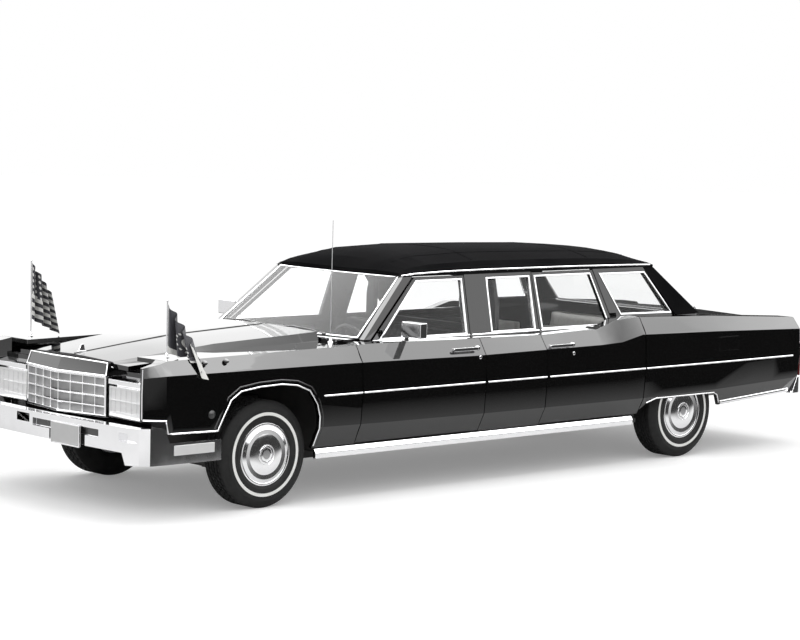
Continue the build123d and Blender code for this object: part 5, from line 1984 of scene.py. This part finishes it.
@dataclass
class RearEnd:
    """Rear bumper, lamps with their caps and the trunk lock."""

    def caps(self, side: Side) -> None:
        """Bright cap on an upright lamp.

        Args:
            side: Side of the car.
        """
        sign = side.value
        low = (3.238, min(sign * 0.900, sign * 0.970), 0.797)
        high = (3.278, max(sign * 0.900, sign * 0.970), 0.806)
        cap = slab(f"lamp_cap_{side.word}", low, high)
        edit_faces(cap, lambda centre, normal: normal.z > 0.9)
        bpy.ops.mesh.extrude_region_move(TRANSFORM_OT_translate={"value": (-0.006, 0, 0.020)})
        bpy.ops.transform.resize(value=(0.6, 0.7, 1))
        bpy.ops.object.mode_set(mode="OBJECT")
        round_edges(cap, 0.002)
        bright(cap)

    def lamps(self) -> None:
        """Lenses: clear at the front corners, dark red at the back."""
        lenses = refined("lamps", "lamp_lenses", STOCK.of(LAMP), 0.002)
        second_finish(lenses, STOCK.of(TAIL_LENS), lambda centre, normal: centre.x > 0)

    def lock(self) -> None:
        """Round lock in the middle of the trunk lid's back."""
        hit = FRAME.surface("trunk_lid").ray_cast(Vector((4.5, 0, 1.0)), Vector((-1, 0, 0)))[0]
        if hit is None:
            return
        profile = [
            (0.026, -0.006), (0.026, 0.003), (0.020, 0.008), (0.008, 0.009), (0.007, 0.006),
            (0.0, 0.006)
        ]
        lock = lathe("trunk_lock", hit, Vector((1, 0, 0)), profile, steps=28)
        smooth(lock, 35)
        bright(lock, "trunk_lid")

    def build(self) -> None:
        """Makes the rear end."""
        refined("rear_bumper", "rear_bumper_brightwork", STOCK.of(CHROME), 0.005)
        self.lamps()
        self.lock()
        for side in Side:
            self.caps(side)


@dataclass
class RoadWheel:
    """Tyre with its pale ring, and the bright cap over the wheel."""

    wheel: Wheel
    groove: float = 0.007
    steps: int = 192
    notches: int = 40

    @property
    def centre(self) -> Point:
        """Middle of the wheel on the track line."""
        x = FRONT_AXLE if "FRONT" in self.wheel.name else REAR_AXLE
        return (x, self.sign * TRACK_HALF, WHEEL_Z)

    @property
    def sign(self) -> int:
        """Side of the car as a sign along Y."""
        return -1 if "LEFT" in self.wheel.name else 1

    @property
    def axis(self) -> Vector:
        """Direction out of the car."""
        return Vector((0, self.sign, 0))

    @property
    def body(self) -> str:
        """Body that the wheel's pieces ride on."""
        return f"wheel_{self.wheel.value}"

    def tread_block_gap(self, centre: Vector, normal: Vector) -> bool:
        """Whether a face of the tread is one of the cross grooves, staggered from rib to rib.

        Args:
            centre: Middle of the face.
            normal: Its normal.

        Returns:
            True for a cross groove.
        """
        x, y, z = centre - Vector(self.centre)
        if math.hypot(x, z) < 0.3508 or abs(normal.y) > 0.3:
            return False
        rib = round(y / 0.026)
        turn = int((math.atan2(z, x) / math.tau + 0.5) * self.steps)
        return (turn + 2 * rib) % 4 == 0

    def tyre(self) -> None:
        """Tyre with sidewall ribs, tread grooves and tread blocks."""
        crown = 0.3515
        tread = []
        ribs = (-0.078, -0.046, -0.036, -0.016, -0.006, 0.006, 0.016, 0.036, 0.046, 0.078)
        for first, last in zip(ribs[::2], ribs[1::2]):
            if tread:
                tread += [
                    (crown - self.groove, tread[-1][1] + 0.001),
                    (crown - self.groove, first - 0.001)
                ]
            tread += [(crown, first), (crown, last)]
        outer_wall = [
            (0.196, 0.091), (0.205, 0.098), (0.212, 0.1035), (0.2235, 0.108), (0.226, 0.1092),
            (0.230, 0.1092),
            (0.232, 0.1085), (0.245, 0.1105), (0.252, 0.1112), (0.2535, 0.1096), (0.2745, 0.1094),
            (0.276, 0.1108),
            (0.296, 0.1085), (0.300, 0.1092), (0.304, 0.1070), (0.318, 0.102), (0.335, 0.094),
            (0.346, 0.085),
        ]
        inner_wall = [
            (radius, -height) for radius,
            height in outer_wall[::-1] if radius not in (0.2535, 0.2745)
        ]
        profile = outer_wall + tread[::-1] + inner_wall + [(0.1925, -0.080), (0.1925, 0.080)]
        tyre = lathe(
            f"tyre_{self.wheel.value}_rubber", self.centre, self.axis, profile + [profile[0]],
            self.steps
        )
        edit_faces(tyre, self.tread_block_gap)
        bpy.ops.mesh.extrude_region_shrink_fatten(TRANSFORM_OT_shrink_fatten={"value": -0.005})
        bpy.ops.object.mode_set(mode="OBJECT")
        smooth(tyre, 35)
        place_piece(tyre, self.body, STOCK.of(RUBBER))
        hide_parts(f"tyre_{self.wheel.value}")

    def pale_ring(self) -> None:
        """Pale band on the outer wall."""
        profile = [
            (0.2538, 0.1090), (0.2538, 0.1105), (0.2742, 0.1103), (0.2742, 0.1088), (0.2538, 0.1090)
        ]
        ring = lathe(f"pale_ring_{self.wheel.value}", self.centre, self.axis, profile, steps=96)
        smooth(ring, 40)
        place_piece(ring, self.body, STOCK.of(WHITEWALL))

    def cap(self) -> None:
        """Bright cap with its trim ring and dome."""
        profile = [
            (0.2055, 0.092), (0.206, 0.099), (0.2045, 0.1035), (0.199, 0.1055), (0.190, 0.1045),
            (0.184, 0.1005),
            (0.181, 0.0960), (0.160, 0.0960), (0.158, 0.1010), (0.154, 0.1035), (0.140, 0.1085),
            (0.110, 0.1145),
            (0.085, 0.1170), (0.066, 0.1175), (0.064, 0.1150), (0.0, 0.1150),
        ]
        cap = lathe(f"wheel_cap_{self.wheel.value}", self.centre, self.axis, profile, steps=96)
        smooth(cap, 35)
        place_piece(cap, self.body, STOCK.of(CHROME))

    def notch_ring(self) -> None:
        """Dark ring round the dome, crossed by a ring of small bright ribs."""
        profile = [
            (0.1805, 0.0962), (0.1805, 0.0975), (0.1605, 0.0975), (0.1605, 0.0962), (0.1805, 0.0962)
        ]
        ring = lathe(f"cap_ring_{self.wheel.value}", self.centre, self.axis, profile, steps=96)
        place_piece(ring, self.body, STOCK.of(MOULDED))
        centre = Vector(self.centre)
        first = slab(
            "cap_rib",
            (centre.x + 0.1615, centre.y + self.sign * 0.0985 - 0.0022, centre.z - 0.0045),
            (centre.x + 0.1800, centre.y + self.sign * 0.0985 + 0.0022, centre.z + 0.0045),
        )
        round_edges(first, 0.001)
        ribs = [first]
        for step in range(1, self.notches):
            activate(first)
            bpy.ops.object.duplicate(linked=False)
            rib = name_piece("cap_rib_copy")
            turn = Matrix.Rotation(math.tau * step / self.notches, 4, "Y")
            rib.matrix_world = Matrix.Translation(centre) @ turn @ Matrix.Translation(-centre)
            apply_place(rib)
            ribs.append(rib)
        bright(joined(f"cap_ribs_{self.wheel.value}", ribs), self.body)

    def boss(self) -> None:
        """Eight-sided boss in the middle of the cap, with its dark disc."""
        middle = Vector(self.centre) + self.axis * 0.1165
        boss = drum(f"cap_boss_{self.wheel.value}", middle, self.axis, 0.058, 0.006, sides=8)
        edit_faces(boss, lambda centre, normal: normal.dot(self.axis) > 0.9)
        bpy.ops.mesh.inset(thickness=0.010)
        bpy.ops.mesh.extrude_region_move(TRANSFORM_OT_translate={"value": self.axis * -0.003})
        bpy.ops.object.mode_set(mode="OBJECT")
        round_edges(boss, 0.0012)
        bright(boss, self.body)
        profile = [(0.027, 0.1158), (0.027, 0.1175), (0.024, 0.1182), (0.0, 0.1182)]
        disc = lathe(f"cap_disc_{self.wheel.value}", self.centre, self.axis, profile, steps=32)
        place_piece(disc, self.body, STOCK.of(MOULDED))

    def build(self) -> None:
        """Makes the wheel's pieces."""
        self.tyre()
        self.pale_ring()
        self.cap()
        self.notch_ring()
        self.boss()
        dress(f"wheel_{self.wheel.value}", STOCK.of(CHROME))


@dataclass
class Underbody:
    """Chassis, engine and running gear."""

    chassis: tuple[str, ...] = ("floor_pan", "chassis_frame", "rear_axle")
    cast: tuple[str, ...] = ("engine", "knuckle_left", "knuckle_right")
    steel: tuple[str, ...] = ("exhaust", "fuel_tank")

    def build(self) -> None:
        """Dresses the nodes under the body."""
        for names, finish in ((self.chassis, CHASSIS), (self.cast, CAST), (self.steel, STEEL)):
            for node in names:
                dress(node, STOCK.of(finish))


PRESSURE = 4.0
CLOTH_QUALITY = 4
CLOTH_FRAMES = 20


def swell(piece: bpy.types.Object, voxel: float, cap: float) -> None:
    """Blows a closed shape up as a cushion by cloth simulation, and keeps how far it may move.

    Args:
        piece: The starting shape, slightly smaller than the cushion.
        voxel: Size of its even mesh.
        cap: Furthest move of any point.
    """
    activate(piece)
    remesh = piece.modifiers.new("even_mesh", "REMESH")
    remesh.mode = "VOXEL"
    remesh.voxel_size = voxel
    bpy.ops.object.modifier_apply(modifier=remesh.name)
    start = [vertex.co.copy() for vertex in piece.data.vertices]
    cloth = piece.modifiers.new("cloth", "CLOTH")
    cloth.settings.use_pressure = True
    cloth.settings.uniform_pressure_force = PRESSURE
    cloth.settings.effector_weights.gravity = 0.0
    cloth.settings.quality = CLOTH_QUALITY
    cloth.point_cache.frame_start = 1
    cloth.point_cache.frame_end = CLOTH_FRAMES
    for frame in range(1, CLOTH_FRAMES + 1):
        bpy.context.scene.frame_set(frame)
    bpy.ops.object.modifier_apply(modifier=cloth.name)
    bpy.context.scene.frame_set(1)
    for vertex, old in zip(piece.data.vertices, start):
        move = vertex.co - old
        if move.length > cap:
            vertex.co = old + move.normalized() * cap
    finish = piece.modifiers.new("finish", "SUBSURF")
    finish.levels = 1
    finish.render_levels = 1
    bpy.ops.object.modifier_apply(modifier=finish.name)
    bpy.ops.object.shade_smooth()


def sewn_channels(
    piece: bpy.types.Object, facing: Vector, middle: float, pitch: float, depth: float
) -> None:
    """Presses sewn channels across a cushion into the side that faces one way.

    Args:
        piece: The cushion.
        facing: Direction that the sewn side faces.
        middle: Middle of the cushion across the car.
        pitch: Distance between channels.
        depth: Their depth.
    """
    for vertex in piece.data.vertices:
        towards = vertex.normal.dot(facing)
        if towards < 0.35:
            continue
        across = (vertex.co.y - middle) / pitch
        away = abs(across - round(across)) * pitch
        vertex.co -= vertex.normal * depth * math.exp(-((away / 0.010) ** 2)) * towards


@dataclass
class Bench:
    """One bench or chair of the cabin: plinth, padded cushion and padded back."""

    name: str
    node: str
    slot: str
    finish: Finish
    start: float
    length: float
    half: float
    lean: float
    top: float
    middle: float = 0.0
    floor: float = 0.331
    voxel: float = 0.024
    slack: float = 0.016
    pitch: float = 0.070

    def prism(self, name: str, rows: Sequence[Row], inset: float) -> bpy.types.Object:
        """Block with one side outline, as wide as the seat.

        Args:
            name: Name of the piece.
            rows: Outline as (x, z).
            inset: How far its ends stay inside the seat's width.

        Returns:
            The block.
        """
        half = self.half - inset
        outline = [(x, self.middle - half, z) for x, z in rows]
        return outline_panel(name, outline, (0, 2 * half, 0), 0.012)

    def pad(self, part: str, rows: Sequence[Row], facing: Vector) -> bpy.types.Object:
        """Padded part with sewn channels.

        Args:
            part: Word for the part.
            rows: Its side outline as (x, z).
            facing: Direction that its sewn side faces.

        Returns:
            The pad.
        """
        piece = self.prism(f"{self.name}_{part}", rows, self.slack)
        swell(piece, self.voxel, 0.022)
        sewn_channels(piece, facing, self.middle, self.pitch, 0.006)
        place_piece(piece, "body", STOCK.of(self.finish))
        return piece

    def build(self) -> list[bpy.types.Object]:
        """Makes the seat.

        Returns:
            Its pieces.
        """
        end = self.start + self.length
        gap = self.slack
        plinth = self.prism(
            f"{self.name}_plinth",
            [
                (self.start + 0.03, self.floor), (end - 0.02, self.floor), (end - 0.02, 0.50),
                (self.start + 0.03, 0.50)
            ],
            0.02,
        )
        place_piece(plinth, "body", STOCK.of(self.finish))
        cushion = self.pad(
            "cushion",
            [
                (self.start + gap, 0.50), (end - 0.13, 0.50), (end - 0.13, 0.604 - gap / 2),
                (self.start + gap, 0.612 - gap / 2)
            ],
            Vector((0, 0, 1)),
        )
        back = self.pad(
            "back",
            [
                (end - 0.13 + gap, 0.610), (end - 0.035, 0.610),
                (end - 0.035 + self.lean, self.top - gap),
                (end - 0.13 + gap + self.lean, self.top - gap),
            ],
            Vector((-1, 0, 0.2)).normalized(),
        )
        shell = self.prism(
            f"{self.name}_shell",
            [
                (end - 0.034, 0.50), (end - 0.002, 0.50),
                (end - 0.002 + self.lean, self.top - 0.03),
                (end - 0.034 + self.lean, self.top - 0.03),
            ],
            0.012,
        )
        place_piece(shell, "body", STOCK.of(self.finish))
        return [plinth, cushion, back, shell]


@dataclass
class Cabin:
    """Dashboard, partition, steering wheel, seats and door trim."""

    benches: tuple[Bench, ...] = (
        Bench(
            "front_bench", "front_seat", "dark_trim", DARK_LEATHER, -0.690, 0.620, 0.700, 0.060,
            1.050
        ),
        Bench(
            "jump_chair_left", "jump_seats", "pale_trim", PALE_CLOTH, 0.749, 0.420, 0.205, 0.040,
            1.000, middle=-0.330, voxel=0.017
        ),
        Bench(
            "jump_chair_right", "jump_seats", "pale_trim", PALE_CLOTH, 0.749, 0.420, 0.205, 0.040,
            1.000, middle=0.330, voxel=0.017
        ),
        Bench(
            "rear_bench", "rear_seat", "pale_trim", PALE_CLOTH, 1.459, 0.600, 0.640, 0.090, 1.010,
            floor=0.525
        ),
    )
    door_panels: tuple[tuple[str, float, float], ...] = (
        ("front_door", -1.200, -0.330), ("rear_door", 0.450, 1.180)
    )

    def seats(self) -> None:
        """Makes the seats, each node replaced by its own pieces."""
        made: dict[str, list[bpy.types.Object]] = {}
        for bench in self.benches:
            made.setdefault(bench.node, []).extend(bench.build())
        for node, pieces in made.items():
            for piece in pieces:
                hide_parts(node)

    def door_trim(self, door: str, low: float, high: float, side: Side) -> None:
        """Dark panel on the inside of a door.

        Args:
            door: Kind of door.
            low: Its front end.
            high: Its back end.
            side: Side of the car.
        """
        node = f"{door}_{side.word}"
        tree = FRAME.surface(node)
        outline = []
        for x, z in ((low, 0.480), (high, 0.480), (high, 0.960), (low, 0.960)):
            hit = tree.ray_cast(Vector((x, 0, z)), Vector((0, side.value, 0)))[0]
            if hit is None:
                return
            outline.append(Vector((x, hit.y - side.value * 0.001, z)))
        panel = outline_panel(f"door_trim_{node}", outline, (0, -side.value * 0.010, 0), 0.004)
        place_piece(panel, node, STOCK.of(DARK_LEATHER))

    def build(self) -> None:
        """Makes the cabin."""
        refined("dashboard", "dashboard_padded", STOCK.of(DARK_LEATHER), 0.012)
        refined("partition", "partition_trimmed", STOCK.of(DARK_LEATHER), 0.006)
        refined("steering_wheel", "steering_wheel_moulded", STOCK.of(MOULDED), 0.002)
        self.seats()
        for side in Side:
            for door, low, high in self.door_panels:
                self.door_trim(door, low, high, side)


@dataclass
class HungFlag:
    """Cloth flag hanging from its staff in folds."""

    side: Side
    hoist_top: Point
    hoist_low: Point
    fly_top: Point
    fly_low: Point
    fly: float = 0.47
    folds: float = 3.4
    depth: float = 0.036
    columns: int = 64
    rows: int = 40
    clearance: float = 0.010
    slant: float = 0.9
    gather: float = 5.0
    fender_top_y: float = 0.985
    fender_side_y: float = 1.0

    @property
    def hoist(self) -> float:
        """Length of the edge at the staff."""
        return (Vector(self.hoist_top) - Vector(self.hoist_low)).length

    def place(self, along: float, down: float) -> Vector:
        """Place of a point of the cloth.

        Args:
            along: Share of the way from the staff to the free end.
            down: Share of the way from the top edge to the lower one.

        Returns:
            Its place, clear of the fender.
        """
        top = Vector(self.hoist_top).lerp(Vector(self.fly_top), along)
        low = Vector(self.hoist_low).lerp(Vector(self.fly_low), along)
        point = top.lerp(low, down)
        run = Vector(self.fly_low) - Vector(self.hoist_low)
        across = Vector((run.y, -run.x, 0)).normalized()
        swing = math.sin(math.tau * self.folds * along + self.slant * down)
        swing *= min(1.0, along * self.gather)
        point += across * swing * self.depth
        lift = FRAME.top_z("front_fenders", point.x, point.y)
        if lift is not None and abs(point.y) < self.fender_top_y:
            point.z = max(point.z, lift + self.clearance)
        elif lift is not None and point.z < lift + self.clearance:
            point.y = self.side.value * max(abs(point.y), self.fender_side_y + self.clearance)
        return point

    def build(self) -> None:
        deselect()
        bpy.ops.mesh.primitive_grid_add(
            x_subdivisions=self.columns, y_subdivisions=self.rows, size=1.0
        )
        piece = name_piece(f"flag_cloth_{self.side.word}")
        layer = piece.data.uv_layers.active
        shares = [(vertex.co.x + 0.5, 0.5 - vertex.co.y) for vertex in piece.data.vertices]
        for loop in piece.data.loops:
            along, down = shares[loop.vertex_index]
            layer.data[loop.index].uv = (along, 1 - down)
        for vertex, (along, down) in zip(piece.data.vertices, shares):
            vertex.co = self.place(along, down)
        piece.data.update()
        activate(piece)
        bpy.ops.object.shade_smooth()
        finish = FLAG_STRIPED if self.side is Side.RIGHT else FLAG_BORDERED
        place_piece(piece, "body", finish.material())
        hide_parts(f"flag_{self.side.word}")


@dataclass
class Fittings:
    """Flag staffs, flags, antenna and mirrors."""

    staff_x: float = -2.870
    staff_y: float = 0.755
    staff_tops: tuple[tuple[Side, float], ...] = ((Side.LEFT, 1.374), (Side.RIGHT, 1.529))

    def staffs(self) -> None:
        """Bright staffs with round tips and stepped feet."""
        pieces = []
        for side, top in self.staff_tops:
            y = side.value * self.staff_y
            foot = FRAME.top_z("front_fenders", self.staff_x, y)
            height = top - foot
            profile = [
                (0.016, -0.004), (0.016, 0.006), (0.010, 0.010), (0.008, 0.026), (0.0045, 0.030),
                (0.0045, height - 0.020), (0.0065, height - 0.018), (0.0065, height - 0.012),
                (0.0035, height - 0.006), (0.0, height),
            ]
            staff = lathe(
                f"staff_{side.word}", (self.staff_x, y, foot), Vector((0, 0, 1)), profile, steps=24
            )
            smooth(staff, 35)
            pieces.append(staff)
        whole = bright(joined("flag_staffs", pieces))
        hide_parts("flagpoles")

    def antenna(self) -> None:
        """Antenna rod with its stepped base."""
        refined("antenna", "antenna_rod", STOCK.of(CHROME), 0.0005)
        low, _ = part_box("antenna")
        spot = (-1.4745, -0.716, low[2])
        profile = [
            (0.020, -0.004), (0.020, 0.004), (0.012, 0.010), (0.007, 0.030), (0.004, 0.032),
            (0.0035, 0.05)
        ]
        base = lathe("antenna_base", spot, Vector((0, 0, 1)), profile, steps=24)
        smooth(base, 35)
        bright(base)

    def mirror_glass(self, side: Side) -> None:
        """Glass on the back of a door mirror.

        Args:
            side: Side of the car.
        """
        low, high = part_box(f"front_door_{side.word}_mirror")
        inner = high[1] - 0.012 if side is Side.RIGHT else low[1] + 0.012
        outer = inner - side.value * 0.166
        x = high[0]
        rows = ((inner, 1.066), (outer, 1.066), (outer, 1.150), (inner, 1.150))
        glass = outline_panel(
            f"mirror_glass_{side.word}", [(x, y, z) for y, z in rows], (0.003, 0, 0), 0.001
        )
        bright(glass, f"front_door_{side.word}")

    def build(self) -> None:
        """Makes the fittings."""
        self.staffs()
        self.antenna()
        HungFlag(
            Side.LEFT, (-2.866, -0.761, 1.338), (-2.866, -0.761, 1.040), (-2.765, -0.905, 1.075),
            (-2.752, -1.030, 0.880),
        ).build()
        HungFlag(
            Side.RIGHT, (-2.866, 0.749, 1.496), (-2.866, 0.749, 1.120), (-2.735, 0.735, 1.290),
            (-2.655, 0.735, 1.010),
            folds=3.4, depth=0.036, fly=0.50,
        ).build()
        for side in Side:
            refined(
                f"front_door_{side.word}_mirror", f"door_mirror_{side.word}", STOCK.of(CHROME),
                0.010
            )
            self.mirror_glass(side)


def main() -> None:
    """Builds the studio and the car's sub-assemblies in order."""
    logging.basicConfig(level=logging.INFO, format="%(message)s")
    FRAME.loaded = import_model()
    make_groups()
    parts = [
        Studio(), BodyPanels(), RoofCover(), Windows(), SideTrim(), DoorFurniture(), FrontEnd(),
        RearEnd()
    ]
    parts += [RoadWheel(wheel) for wheel in Wheel]
    parts += [Underbody(), Cabin(), Fittings()]
    for part in parts:
        before = len(bpy.data.objects)
        part.build()
        LOG.info("%s: %d objects", type(part).__name__, len(bpy.data.objects) - before)


if __name__ == "__main__":
    main()
